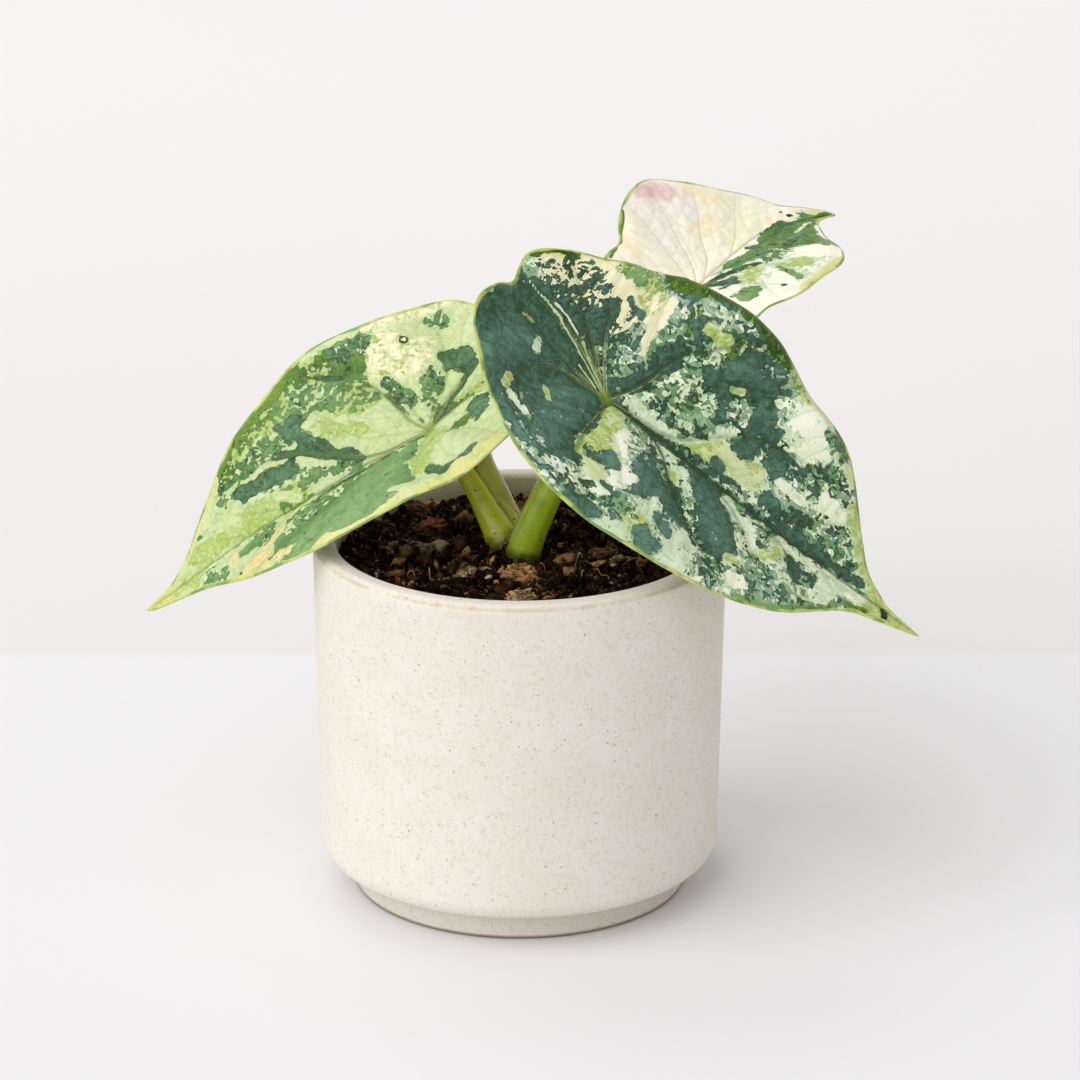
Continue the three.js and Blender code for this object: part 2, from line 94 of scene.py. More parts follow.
# Each main vein has its width in millimetres and its tone, from 0 for a pale line to 1 for a dark one, and
# then along and left of the midrib for each place that it runs through, in millimetres from the seat.
FRONT_VEINS = [
    (1.5, 0.95, 0, 0, 30, -0.3, 60, -0.9, 85, -0.3, 110, 0),
    (1, 0.55, 3, 0.3, 12, 1.2, 20, 2, 25, 4.4, 30, 9, 37, 15, 47, 20.5, 58, 22.4, 70, 24.5),
    (1.1, 0.9, 0.5, 0.5, 4, 6, 7.5, 13, 9.5, 20, 13, 26.5, 18, 32, 24, 38, 31, 41.5),
    (1, 0.35, -0.5, 1, -5, 7, -10, 13, -14.5, 18, -18, 25),
    (1, 0.05, -0.5, 0.5, -6, 4.5, -14, 7, -23, 7.6, -32, 6, -41, 2.6),
    (0.7, 0.15, -1, 1.6, -8, 6, -15, 8.4, -24, 9.4, -32, 8.4),
    (1.1, 0.9, 14, -0.8, 19, -2.6, 24, -7.5, 29, -14, 35, -20, 41, -24.5, 49, -29),
    (1, 0.85, 0.5, -1, 1, -7, -0.2, -16, -0.2, -25, 3, -31, 8, -38),
    (0.9, 0.6, -2, -0.8, -9, -2, -15, -4.2, -19, -9, -21, -17, -20, -27),
    (0.8, 0.5, -4, -0.4, -16, 0.4, -28, -0.2, -36, -3.5, -39.5, -10, -38, -17),
    (0.8, 0.6, -2, 1.8, -12, 10, -22, 14.5, -34, 18, -43, 19),
    (0.7, 0.5, 19, 12, 22, 18, 27, 25, 34, 29, 40, 34),
    (0.8, 0.6, 38, -0.6, 47, -5, 56, -12, 63, -20),
    (0.7, 0.5, 58, -0.8, 67, -5, 75, -11, 81, -17),
    (0.7, 0.6, 56, -0.5, 65, 5, 74, 12, 80, 17),
    (0.6, 0.5, 78, -0.3, 86, 4, 91, 8),
]
LEFT_VEINS = [
    (1.4, 0.75, 0, 0, 30, -0.2, 60, -0.6, 85, 0.6, 99, 0.6),
    (1.2, 0.85, 3, 0, 14, -0.8, 22, -3.6, 28, -8.5, 37, -15, 45, -18.8, 56, -20.4, 68, -20),
    (1.2, 0.7, 0.3, -0.5, 4, -6, 7, -15, 10, -22, 14.5, -28.5, 20, -34, 27, -36.8),
    (1.1, 0.8, 14, 0.4, 22, 2.4, 29, 7.4, 36, 12.6, 44, 16.2, 54, 19.4, 60, 21),
    (0.9, 0.3, 0.2, 0.5, 3, 8, 5, 18, 6.5, 27, 3, 32, -1, 35),
    (0.9, 0.3, -0.5, 0.5, -6, 6, -12, 13, -17, 22, -20, 28),
    (0.9, 0.3, -0.5, -0.3, -8, -2.6, -16, -5, -28, -9),
    (0.9, 0.7, -0.5, -0.8, -7, -6, -14, -10.6, -24, -14),
    (0.8, 0.5, -0.5, -1, -4, -7, -10, -13, -12.6, -21, -13.2, -29, -10, -35),
    (0.6, 0.4, 0.2, -1, 2, -8, 4, -14, 7, -20),
    (0.6, 0.25, 2, -1, 12, -5.5, 20, -10, 25, -18, 30, -27),
    (0.7, 0.35, 44, -0.8, 53, -4, 62, -9, 70, -15),
    (0.6, 0.3, 60, -0.6, 68, -4, 76, -9),
    (0.7, 0.4, 46, 0, 54, 5, 62, 11, 68, 15),
]
BACK_VEINS = [
    (1.1, 0.45, 0, 0, 20, 0.6, 45, 2, 66, 2),
    (0.7, 0.15, 0.3, 0.6, 4, 8, 8, 18, 10.5, 27, 10.6, 34),
    (0.7, 0.15, 1, 0.6, 8, 6, 14, 15, 19, 24, 22, 33),
    (0.7, 0.15, 6, 0.7, 15, 5, 22, 12, 30, 19, 36, 27),
    (0.6, 0.15, 22, 0.8, 33, 6, 42, 13, 50, 19),
    (0.7, 0.2, -0.5, 0.5, -6, 7, -12, 16, -16, 22),
    (1, 0.9, 0.5, -0.5, 7, -3.6, 13, -7.6, 20, -11.5, 30, -17),
    (0.8, 0.7, 8, -0.6, 17, -4, 28, -8.5, 40, -14),
    (0.8, 0.6, 0, -1, 3, -9, 6, -17, 8, -26),
    (0.6, 0.5, 30, 0, 40, -3.4, 50, -6),
    (0.7, 0.6, -0.5, -0.6, -8, -5, -14, -12, -16, -20),
]
MAIN_VEINS = {"front": FRONT_VEINS, "left": LEFT_VEINS, "back": BACK_VEINS}

# Colours of the leaves' tissue, as red, green and blue light from 0 to 1

TISSUE = {
    "white": (0.91, 0.92, 0.81),
    "cream": (0.92, 0.84, 0.62),
    "ivory": (1.0, 0.95, 0.81),
    "ivory pink": (1.0, 0.90, 0.88),
    "ivory warm": (1.0, 0.89, 0.64),
    "ivory lime": (0.95, 0.96, 0.74),
    "blush": (0.80, 0.58, 0.58),
    "tan": (0.86, 0.66, 0.34),
    "straw": (0.72, 0.67, 0.27),
    "pale lime": (0.66, 0.71, 0.42),
    "lime": (0.38, 0.52, 0.09),
    "mint": (0.57, 0.73, 0.47),
    "soft mint": (0.51, 0.67, 0.36),
    "grey mint": (0.35, 0.51, 0.37),
    "mid green": (0.22, 0.40, 0.20),
    "leaf green": (0.19, 0.34, 0.12),
    "moss": (0.13, 0.25, 0.03),
    "teal": (0.092, 0.21, 0.092),
    "deep": (0.074, 0.168, 0.112),
    "olive": (0.055, 0.125, 0.004),
    "bark brown": (0.05, 0.015, 0.005),
}

# A mix says how much of the leaf its light, green and dark layers cover there, from NONE over 0 for half
# to ALL, and the colours that the layers take. A layer that isn't named keeps the colour under it.
NONE, ALL = -1.8, 1.6
BARE = (NONE, NONE, NONE)
MINTS = {"light": "mint", "green": "grey mint", "dark": "deep"}
GREENS = {"light": "soft mint", "green": "leaf green", "dark": "teal"}
MIXES = {
    "deep": ((ALL, ALL, ALL), {"dark": "deep"}),
    "deep flecked": ((0.4, 0.5, 0.30), {"dark": "deep"}),
    "deep mottled": ((0.55, 0.4, 0.0), {"green": "mid green", "dark": "deep"}),
    "mosaic": ((0.4, 0.22, -0.2), MINTS),
    "mint": ((ALL, -0.9, -1.2), {"light": "mint"}),
    "mint speckled": ((0.4, 0.0, -0.5), MINTS),
    "pale mint": ((0.05, -0.6, -1.0), {"pale": "white", "light": "mint"}),
    "grey mint": ((ALL, 0.45, -0.35), MINTS),
    "white": ((-0.9, NONE, NONE), {"pale": "white"}),
    "white speckled": ((-0.35, -0.5, -0.25), {"pale": "white", "light": "mint", "dark": "deep"}),
    "cream": (BARE, {"pale": "cream"}),
    "cream splashed": ((NONE, -0.2, 0.06), {"pale": "cream", "green": "deep", "dark": "deep"}),
    "cream lime": ((-0.25, NONE, NONE), {"pale": "cream", "light": "lime"}),
    "pale lime": ((-0.75, NONE, NONE), {"pale": "pale lime", "light": "soft mint"}),
    "lime": ((0.35, NONE, NONE), {"pale": "pale lime", "light": "lime"}),
    "lime mottled": ((0.65, 0.05, NONE), {"pale": "pale lime", "light": "lime", "green": "leaf green"}),
    "leaf green": ((ALL, 1.1, -0.72), GREENS),
    "green mottled": ((0.6, 0.25, -0.5), GREENS),
    "moss": ((ALL, ALL, -0.6), {"green": "moss", "dark": "olive"}),
    "olive flecked": ((0.9, 0.5, 0.2), {"light": "lime", "green": "moss", "dark": "deep"}),
    "moss mottled": ((0.7, 0.25, -0.35), {"light": "lime", "green": "moss", "dark": "teal"}),
    "olive": ((ALL, ALL, 0.8), {"green": "moss", "dark": "olive"}),
    "teal": ((ALL, ALL, 1.0), {"dark": "teal"}),
    "teal mottled": ((0.7, 0.5, 0.15), GREENS),
    "teal specks": ((-0.1, -0.4, -0.25), GREENS),
    "straw": (BARE, {"pale": "straw"}),
    "tan": (BARE, {"pale": "tan"}),
    "tan flecked": ((-0.5, -0.6, NONE), {"pale": "tan", "green": "leaf green"}),
    "ivory": (BARE, {"pale": "ivory", "light": "ivory"}),
    "ivory pink": (BARE, {"pale": "ivory pink", "light": "ivory"}),
    "ivory warm": (BARE, {"pale": "ivory warm", "light": "ivory"}),
    "ivory lime": (BARE, {"pale": "ivory lime", "light": "ivory lime"}),
    "blush": (BARE, {"pale": "blush", "light": "ivory pink"}),
    "spot": ((ALL, ALL, ALL), {"dark": "bark brown"}),
}

# Patches of each leaf, the later ones over the earlier: a mix and its strokes. A stroke is half its width,
# and then along and left of the midrib for each place that it runs through, all in millimetres.
FRONT_PATCHES = [
    ("mosaic", (200, 0, 0)), ("deep", (19, -24, -14, -18, -14), (8, -34, 1, -6, 0), (9, -9, -10, -8, -27)),
    ("mint", (1.6, -24.5, -4, -23.5, -6.5)), ("lime", (0.7, -33, -3, -30, -1),
    (0.9, -14.2, -15.5, -12.4, -18), (1.1, -22.3, -22.5, -21.6, -26)),
    ("deep flecked", (2.6, -17, -28, -9, -33, -4, -37)), ("white", (0.9, -19, -27, -14.4, -28.6)),
    ("white speckled", (2.4, -2, -36, 4, -36, 6, -33)), ("lime", (4.2, 5, -5, 4.4, -12, 3.4, -22)),
    ("mint speckled", (5, 12, -6, 14, -14)), ("white", (3.6, 9, -12, 15, -22, 13, -32)),
    ("mint speckled", (3, 13, -10, 15, -17)), ("pale lime", (2.2, 5, -27, 8, -30)),
    ("deep", (3.6, 5.6, -21.5, 7.6, -20.5), (1, 11, -31, 13, -31), (4.5, 20, -15, 24, -22, 25, -26),
    (4.6, 27, -18, 33, -23)), ("deep flecked", (3, 18, -9, 24, -12)),
    ("deep", (5.6, 38, -9, 45, -15, 49, -21), (3.4, 32, -5, 40, -6)),
    ("mint", (1.7, 45, -4.5, 50, -8, 55, -7)), ("lime", (1, 26, -8, 29, -12)),
    ("mint speckled", (1.6, 30, -6, 33, -13, 36, -20)), ("mint", (2.6, 23, -5, 28, -7),
    (5.4, 37, -31, 39, -37), (3.2, 25, -31, 27, -26)), ("lime", (3.8, 18, -40, 26, -36)),
    ("mint", (3, 16, -41, 22, -42)), ("deep", (2.6, 27.5, -37, 31, -39.5), (1.9, 30, -29, 33, -31)),
    ("deep mottled", (2.6, 17, -33, 22, -35, 14, -37)), ("deep", (1.8, 4, -42, 13, -41.5)),
    ("mint speckled", (4.5, 46, -29, 52, -34, 46, -38)), ("deep mottled", (4, 47, -32, 56, -25, 66, -27)),
    ("white", (1.7, 55, -31, 59, -28.5)), ("lime", (1.5, 52, -23, 55, -22)),
    ("deep flecked", (3, 60, -14, 66, -17)), ("pale mint", (1.8, 53, -14, 56, -19)),
    ("white", (1.3, 56.5, -10.5, 59, -13.5)), ("lime", (1.4, 67, -8, 63, -14), (1.6, 66, -3.5, 64, -7)),
    ("mint speckled", (4.2, 70, -15, 76, -17)), ("deep mottled", (1.4, 75, -9, 84, -11),
    (1.2, 66, -19, 78, -22)), ("grey mint", (3.6, 62, -22, 70, -24)), ("deep", (1.9, 71.5, -6, 72.5, -12),
    (1.5, 78, -7, 80, -10)), ("pale mint", (3, 68, -2.6, 84, -4, 92, -3)), ("mint", (3, 84, -6, 82, -13)),
    ("leaf green", (1.2, 60, -33.5, 72, -27, 82, -18.5, 88, -11)), ("lime", (4, 30, 6, 40, 7, 47, 8)),
    ("pale lime", (2.6, 40, 9, 46, 5)), ("deep flecked", (1.7, 23, 2, 32, 2.2, 40, 1.2)),
    ("deep", (1.3, 36.5, 5, 39, 4)), ("mint speckled", (4, 54, 9, 64, 9)),
    ("deep", (1.7, 54.5, 5.5, 58.5, 5)), ("deep flecked", (4.4, 62, 3, 74, 4, 84, 7)),
    ("deep", (1.7, 64, 2, 82, 2, 91, 3)), ("deep mottled", (2.6, 66, 6, 78, 7, 88, 6)),
    ("mosaic", (4, 70, 11, 82, 12)), ("deep mottled", (3.4, 80, 16, 84, 11)),
    ("white speckled", (4.2, 57, 14, 68, 15, 74, 17)), ("deep", (2.8, 51, 18, 52.5, 14.5)),
    ("deep flecked", (3.4, 57, 18.5, 64, 16.5)), ("white", (1.9, 69, 16.5, 76, 18),
    (1.2, 55, 12.6, 62, 11.6)), ("deep", (2.4, 41, 15.5, 43.5, 13.2)), ("white", (1.6, 31, 12, 35, 13.5)),
    ("mint", (1.5, 14, 2.4, 24, 3.6, 31, 9, 36, 15)), ("white", (0.6, 20, 2.6, 26, 4.6, 32, 10.5, 37, 15.5),
    (6.4, 50, 32, 55, 28, 61, 33)), ("mint", (2, 42, 30, 47, 24, 46, 20)),
    ("pale mint", (2.6, 49, 23, 50, 26)), ("mint speckled", (3.6, 44, 37, 45, 29)),
    ("deep mottled", (2.6, 62, 33.5, 67, 31, 68, 26)), ("deep flecked", (2.2, 64, 24.4, 72, 25.4, 78, 22)),
    ("deep", (5.8, 26, 33, 35, 35), (4.6, 27, 24, 38, 28), (3.1, 40, 24, 44.5, 21)),
    ("deep flecked", (3, 36, 38, 42, 37)), ("mint speckled", (3.4, 35.5, 24, 36, 18)),
    ("white speckled", (1.4, 36, 20, 38, 17)), ("deep", (1.4, 39.5, 25, 40, 18)),
    ("lime", (1, 29, 26.6, 32, 28)), ("grey mint", (4.6, 22, 9, 28, 14)),
    ("deep", (2.2, 21, 25, 27, 21, 31, 17)), ("grey mint", (3.6, 26, 18, 24, 14)),
    ("mint", (1.6, 8, 5, 16, 3.4, 20, 3)), ("mosaic", (4.5, 13, 9, 15, 16)),
    ("deep mottled", (3.2, 16, 12, 18, 21), (2.2, 8, 11, 16, 14, 24, 16), (1.8, 20, 8, 30, 9)),
    ("olive flecked", (4, 10, 35, 18, 31, 22, 40)), ("pale mint", (1.6, 13, 19, 18, 17)),
    ("mosaic", (4.5, 12, 26, 16, 30)), ("lime", (2, 14, 35.6, 18, 35.4)),
    ("deep flecked", (3.4, 5, 38, 9, 34, 14, 30)), ("deep", (2.4, 14, 41, 19, 41.5)),
    ("mosaic", (2.6, 10, 41, 24, 43)), ("cream", (5.6, -33, 25, -20, 28, -6, 30), (4, -12, 22, -8, 25)),
    ("lime mottled", (3.8, -28, 32.5, -16, 35, -6, 33)), ("leaf green", (1.8, -24, 32.2, -18, 33)),
    ("cream lime", (2.2, -12, 33, -4, 32)), ("deep", (1.1, -15.5, 28, -12, 27, -6, 27.6)),
    ("deep flecked", (2.2, -5, 24, -1, 23.6)), ("deep mottled", (1.8, -13, 24.5, -16, 22.5)),
    ("cream", (1.7, -0.6, 35, 0.6, 26, 1.2, 19)), ("deep flecked", (3.4, 5, 33, 6.2, 24)),
    ("deep mottled", (2.2, 3.4, 30, 4.6, 20)), ("deep flecked", (4.4, -5, 17, -3.6, 9),
    (6.4, -38, 17, -27, 19, -21, 14)), ("deep", (4.4, -31, 14, -22, 13)),
    ("cream splashed", (5.5, -45, 14, -37, 17, -26, 20.5), (2.2, -38, 21, -26, 23, -14, 24),
    (2.6, -12, 20, -11, 26)), ("deep flecked", (3.2, -3.4, 13, -4.2, 22)),
    ("cream", (0.8, -15.6, 26, -13, 21.6)), ("deep", (2.6, -18, 22, -14, 14),
    (2.2, 3.6, 8, 7.4, 16, 9.4, 22), (2, -40, 6, -20, 4.4, -6, 1.6), (1.1, 2, 0, 20, -0.8, 32, -1.4)),
    ("pale lime", (0.3, -41, 4.6, -34, 7, -27, 8.2, -18, 7, -9, 4, -2, 0.9)),
    ("white", (0.3, -32, 9, -26, 10.2, -19, 9.6)), ("lime", (0.3, -16, 9, -9, 5.6, -3, 2.2)),
    ("pale lime", (0.25, -12, 2.6, -4, 0.6)), ("lime mottled", (3, -26, 37, -14, 42)),
    # The olive strokes along the rolled-over margin are partly its green and partly painted shade of the
    # rolled edge
    ("olive", (2.6, -9, 41.5, 2, 42.5, 12, 46), (4, 14, 49, 26, 48.5, 37, 46)),
    ("lime mottled", (3, 42, 44, 48, 41)), ("pale lime", (2.2, 50, 41, 62, 36.5, 73, 29)),
    ("moss", (0.8, 60, 38, 68, 34)), ("deep flecked", (2, 60, 34.6, 68, 32)),
    ("straw", (2, -49, 13, -44, 23, -36, 29)), ("olive", (1.2, -50, 8, -48, 17, -44, 20)),
    ("lime", (2.6, 80, 22, 90, 9, 98, 2), (6, 100, 0, 114, 0)), ("moss", (0.9, 90, -8, 97, -5)),
    ("spot", (0.9, 101.5, -1.4, 102.6, -2.6), (0.7, 109, 0.6, 112, 0)),
]
LEFT_PATCHES = [
    ("pale lime", (200, 0, 0)), ("leaf green", (11, 17, 13, 17, 26), (13, 28, 18, 40, 17),
    (7, 30, 30, 46, 25), (5, 18, 32.5, 36, 32), (3.4, 5.6, 5, 8.4, 13, 10.4, 21)),
    ("green mottled", (5, 34, 6, 48, 8, 58, 5)), ("lime", (3.6, 0, 4, 2.4, 16, 2, 24)),
    ("pale lime", (1.8, 9.5, 33.6, 12.4, 31)), ("leaf green", (1.6, 8, 25, 10.6, 29)),
    ("teal", (1.9, -13, 31, -8, 33.6, -3, 33.2, 0.8, 28)), ("straw", (2.8, -19, 33, -8, 38, 4, 37.6),
    (1.8, 12, 37.8, 26, 38.6, 38, 36)), ("teal", (3, -16.5, 1, -14, 4), (1.2, -17.6, 6, -15, 11)),
    ("moss", (1.8, -10.6, 6.6, -6, 6.6)), ("lime mottled", (1.8, -22, -6, -8, -3)),
    ("moss", (1, -9, -3.4, -2, -1.4)), ("teal", (3.6, -17, -16, -14, -17.6)),
    ("teal mottled", (3.6, -6.6, -11.4, -5, -17)), ("green mottled", (3.2, -3, -5, -4, -13)),
    ("teal", (0.9, -3, -2.2, -10, -6.4, -20, -13.4), (0.5, -2, -1, -12, -3.6),
    (0.7, 1.4, -4, 5, -10, 8, -18)), ("teal mottled", (2.6, 2.6, -11, 5.6, -18, 6, -23)),
    ("pale lime", (5.4, 9, -5, 17, -11, 20, -16)), ("lime", (3, 20, -12, 28, -19)),
    ("lime mottled", (4, 14, -21, 22, -25, 26, -29), (6.5, 18, -28, 28, -32, 38, -34)),
    ("cream lime", (6, -4, -25, 3, -30, 9, -34)), ("green mottled", (3.4, -17, -30, -14.6, -35)),
    ("moss", (3, 13, -31.6, 18, -34)), ("teal", (0.9, 18, -30.5, 25, -36)),
    ("teal mottled", (3.4, 8, -37, 18, -39)), ("teal", (1.7, 24, -6, 29, -11, 31, -15)),
    ("green mottled", (3, 25, -3.4, 34, -6, 38, -9)), ("teal", (3.2, 35, -18, 37, -24, 34, -26),
    (1.6, 40, -21, 42, -28, 45, -32), (3.4, 44, -12.6, 52, -13.6, 60, -15.4)),
    ("teal specks", (4, 46, -25, 55, -24.6, 62, -23)), ("teal mottled", (1.6, 58, -21.6, 66, -22)),
    ("green mottled", (4, 24, -28, 33, -31), (3.4, 46, -22, 60, -25)),
    ("lime mottled", (3, 38, -33, 52, -30)), ("moss mottled", (2.6, 21, -40, 34, -38, 48, -33, 62, -25)),
    ("green mottled", (2.4, 66, -18, 76, -12, 84, -6)), ("teal mottled", (1.2, 2, 1.6, 20, 2, 34, 2.4)),
    ("teal", (1.1, 22, -3.4, 29, -9, 38, -16, 46, -19.6)),
    ("moss", (1.4, 30, -39.6, 44, -36, 58, -31, 70, -23)), ("mint", (3.4, 44, -5, 56, -9)),
    ("lime mottled", (4.2, 42, -4, 56, -6, 64, -5)), ("lime", (5, 56, -5, 68, -7, 80, -5)),
    ("pale lime", (3.2, 66, -12, 72, -15), (1, 44, -3, 50, -8)), ("tan", (1.8, 51, 6, 52.6, 10, 55, 14)),
    ("tan flecked", (3.4, 57, 17, 63, 16.6)), ("tan", (1.4, 66, 4, 69, 9)),
    ("tan flecked", (2.2, 47, 27.6, 53, 25, 59, 21)), ("pale lime", (3, 61, 11, 65, 13)),
    ("leaf green", (1.8, 60, 6, 64, 7)), ("green mottled", (3, 72, 9, 78, 4)), ("lime", (3, 84, 2, 92, 2)),
    ("straw", (3, 93, 0, 101, 0), (1.4, 60, 22.6, 70, 16, 80, 8), (1.2, 66, -26, 78, -15, 88, -4)),
    ("cream lime", (1.8, -20, -37, -8, -39, 4, -40)), ("spot", (1.3, -3.6, -31)),
    ("cream", (0.6, -3.6, -31)), ("spot", (0.5, 66.4, 15.6, 66.8, 15), (0.4, 39.4, -1, 39.8, -1),
    (0.4, 66.6, 0, 67, 0)),
]
BACK_PATCHES = [
    ("ivory", (200, 0, 0)), ("ivory warm", (4, -4, 22), (4, 24, 12, 30, 15), (3, 33, 25, 40, 20)),
    ("ivory pink", (5, 12, 24, 10, 14), (6, 16, 30, 26, 24)), ("blush", (3.2, 20, 35, 26, 31)),
    ("ivory lime", (3.5, 30, 4, 44, 8), (3, 48, 12, 56, 16)),
    ("moss", (0.5, -13, 24.6, -4, 26, 3, 30, 7, 33)), ("pale mint", (14, 12, -14, 26, -16)),
    ("leaf green", (3.6, 17, -3, 24, -5, 30, -8)), ("green mottled", (3, 26, -12, 38, -13)),
    ("leaf green", (6.4, 39, -5, 50, -6), (3.8, 58, -2, 66, 1), (4.4, 43, -13, 45.4, -18)),
    ("moss", (2, 36, -4, 42, 1.4, 52, 2), (2.3, 43, -13, 51, -9, 60, -2), (1.4, 40, -16, 47, -18.6),
    (1.3, 34, -7, 44, -5, 56, 0)), ("teal", (1.1, 44, -1.6, 50, 1, 54, 1.4),
    (1.1, 34.6, -12, 40, -9.4, 45, -10)), ("mint", (0.6, 48, -5.6, 54, -5, 60, -3)),
    ("deep", (1.7, 29.6, -0.6, 31.6, -2.6), (1.2, 1, -0.8, 9, -4.4, 18.6, -10.6),
    (1.2, 1, -3.4, 4, -7, 7, -10), (0.8, 4, -2, 9, -3.6), (1, -1, -9.4, 4, -9.8, 5, -12)),
    ("white", (2.6, -1, -13, 2, -15)), ("leaf green", (2.8, -4, -18.8, 1, -18.6)),
    ("lime", (3, 8, -14, 14, -13)), ("white", (3.4, 3, -24, 12, -24)),
    ("leaf green", (1.4, 18.6, -18, 16, -22, 13.6, -26.6)), ("lime", (3.4, 21, -20, 24, -23)),
    ("ivory", (4.4, 32, -20, 40, -23)), ("leaf green", (2.2, 42, -19, 46, -19)),
    ("green mottled", (5, -10, -4, -18, -9, -22, -16)), ("moss mottled", (3, -14, 4, -24, 2, -28, -6)),
    ("straw", (1.2, 8, -31, 24, -30.4, 38, -29), (2.6, 68, 2, 74, 3)), ("moss", (0.9, 66, -1, 73, 0)),
    ("spot", (0.7, 58.4, 4.2, 59.2, 4.2), (0.7, 7.2, -25.2, 7.6, -25.5), (0.3, 57, 6.6, 58, 6.8)),
]
PATCHES = {"front": FRONT_PATCHES, "left": LEFT_PATCHES, "back": BACK_PATCHES}

# Stalks: places from the crown to the blade's underside and radii, in millimetres, as in the CAD part,
# then the shares of the glossy coat, of the pale foot and of the brown freckles

STALK_FOOT = 93.0
STALK_TOP_GAP = 0.6
STALK_SPACING = 0.8
STALK_END = 2.2        # length over which the top is rounded
STALK_COLUMNS = 40
STALKS = {
    "front": {
        "via": [(0.8, -4.2, STALK_FOOT), (0.9, -4.2, 101), (8.6, -6.2, 122), (16.2, -9.2, 137),
                (20.9, -10.8, 145.4)],
        "radii": [4.4, 4.6, 4.3, 3.6, 2.7], "coat": 0.35, "paled": 0.0, "freckled": 0.0,
    },
    "left": {
        "via": [(-4.2, 4.6, STALK_FOOT), (-4.5, 5, 101), (-9.6, 8, 111), (-14.8, 10.5, 119.8),
                (-21.4, 11.6, 128.6)],
        "radii": [4.2, 4.3, 3.1, 2.5, 2.2], "coat": 0.1, "paled": 0.2, "freckled": 0.85,
    },
    "back": {
        "via": [(-1.5, 14, STALK_FOOT), (-1.6, 14.1, 101), (-6.3, 15.5, 111.5), (-11.6, 18.5, 122.6),
                (-12.5, 22, 133), (-6, 27, 141), (9, 34, 146.5), (27, 40.5, 150), (40, 45, 153.5),
                (47.5, 47.6, 159)],
        "radii": [3.9, 4, 3.3, 2.9, 2.6, 2.2], "coat": 0.1, "paled": 0.6, "freckled": 0.7,
    },
}

# The back stalk's sheath, from its side down to the front stalk's foot: places, then shares of its length
# and the radii there
SHEATH = [(-7.5, 13.6, 114.5), (-4.6, 11.6, 109.6), (-0.4, 7.6, 105.4), (2.4, 3.4, 101.6), (2.6, 1.0, 96)]
SHEATH_RADII = [0, 0.25, 0.8, 1], [0.5, 2.3, 2.6, 2.2]

POT_COLUMNS = 220

# The soil, in millimetres: radius, heights of the rings down its side, the share of the radius that it
# has above and below the narrow part, and the height of its underside
SOIL_RADIUS = 53.0
SOIL_SIDE = (94, 70, 40, 18)
SOIL_SHARES = 0.985, 0.86
SOIL_NARROW = 40
SOIL_UNDERSIDE = 12
# The crumbs' sizes in millimetres and the share of each
CRUMB_SIZES = [0.6, 0.95, 1.5, 2.2, 3.0], [0.30, 0.30, 0.22, 0.13, 0.05]

# Loose chips in the soil top, as in the CAD part: place, half sizes, turn in degrees and colour
CHIPS = {
    "chip_lump": ((0, -20.5), (5.4, 4.4, 3.9), 10, (0.30, 0.17, 0.065)),
    "chip_pale": ((-15, -20), (4.6, 2.2, 1.7), 60, (0.36, 0.25, 0.14)),
    "chip_grey": ((-32, 0), (6.6, 3.8, 2.4), -20, (0.20, 0.13, 0.08)),
    "chip_red": ((-26, 22), (5.6, 3.2, 2.4), 35, (0.19, 0.075, 0.035)),
    "chip_flecked": ((1, -39), (5, 3.4, 2.1), 15, (0.32, 0.21, 0.11)),
    "chip_small": ((14, -16), (3.8, 2.8, 2), -40, (0.14, 0.075, 0.035)),
    "chip_right": ((33, -12), (5.6, 3, 2.4), 75, (0.13, 0.07, 0.035)),
    "chip_rear_left": ((-31, 36), (5, 3, 2.4), -60, (0.12, 0.07, 0.04)),
    # chip_shaded lies in the leaves' shadow: its dark colour is partly painted shade
    "chip_shaded": ((24, -3), (5.4, 3.3, 2.4), 20, (0.10, 0.055, 0.03)),
    "chip_rear_right": ((20, 29), (5.8, 4, 2.5), -15, (0.13, 0.075, 0.04)),
    "chip_rear": ((-4, 41), (5, 3, 2.1), 5, (0.12, 0.07, 0.04)),
    "chip_far_right": ((40, 17), (4.8, 3.6, 2.7), 50, (0.15, 0.10, 0.06)),
}


# Sizes and colours that a user would change


def colour(name, description, default):
    """A colour property, in scene light."""
    return bpy.props.FloatVectorProperty(
        name=name, description=description, subtype="COLOR", size=3, min=0, max=1, default=default
    )


def length(name, description, default):
    """A length property, in metres."""
    return bpy.props.FloatProperty(
        name=name, description=description, default=default, min=0, unit="LENGTH", precision=5
    )


def amount(name, description, default, unit="NONE"):
    """A number property that isn't below 0."""
    return bpy.props.FloatProperty(name=name, description=description, default=default, min=0, unit=unit)


def whole(name, description, default):
    """A whole number property, at least 1."""
    return bpy.props.IntProperty(name=name, description=description, default=default, min=1)


class PotSettings(bpy.types.PropertyGroup):
    """Stoneware pot."""

    height: length("Height", "Height of the pot", POT_BOX[1].z)
    rim_radius: length("Rim radius", "Outer radius at the rim", POT_BOX[1].x)
    body_radius: length("Body radius", "Outer radius just above the bottom edge", 58.2 * MM)
    wall: length("Wall", "Thickness of the wall", 6.5 * MM)
    foot_radius: length("Foot radius", "Radius of the set-back foot", 48.8 * MM)
    foot_height: length("Foot height", "Height of the foot", 9.2 * MM)
    wobble: length("Wobble", "How far the thrown wall strays from round", 0.12 * MM)
    glaze: colour("Glaze", "Matt cream glaze", (0.79, 0.735, 0.662))
    fibre: colour("Fibre", "Fine tan lines in the glaze", (0.56, 0.44, 0.32))
    chalk: colour("Chalk", "Chalky clouds in the glaze", (0.88, 0.84, 0.78))
    speck: colour("Speck", "Iron specks", (0.30, 0.16, 0.07))
    bare: colour("Bare clay", "Clay that shows where the glaze breaks at the rim", (0.52, 0.36, 0.20))
    # Thin glaze is partly real and partly a painted shade in the recess above the foot
    thin: colour("Thin glaze", "Glaze that thins out towards the foot", (0.42, 0.37, 0.30))
    # The foot edge is partly stained clay and partly a painted contact shadow
    foot: colour("Foot edge", "Stained clay on the foot's lowest edge", (0.17, 0.12, 0.06))


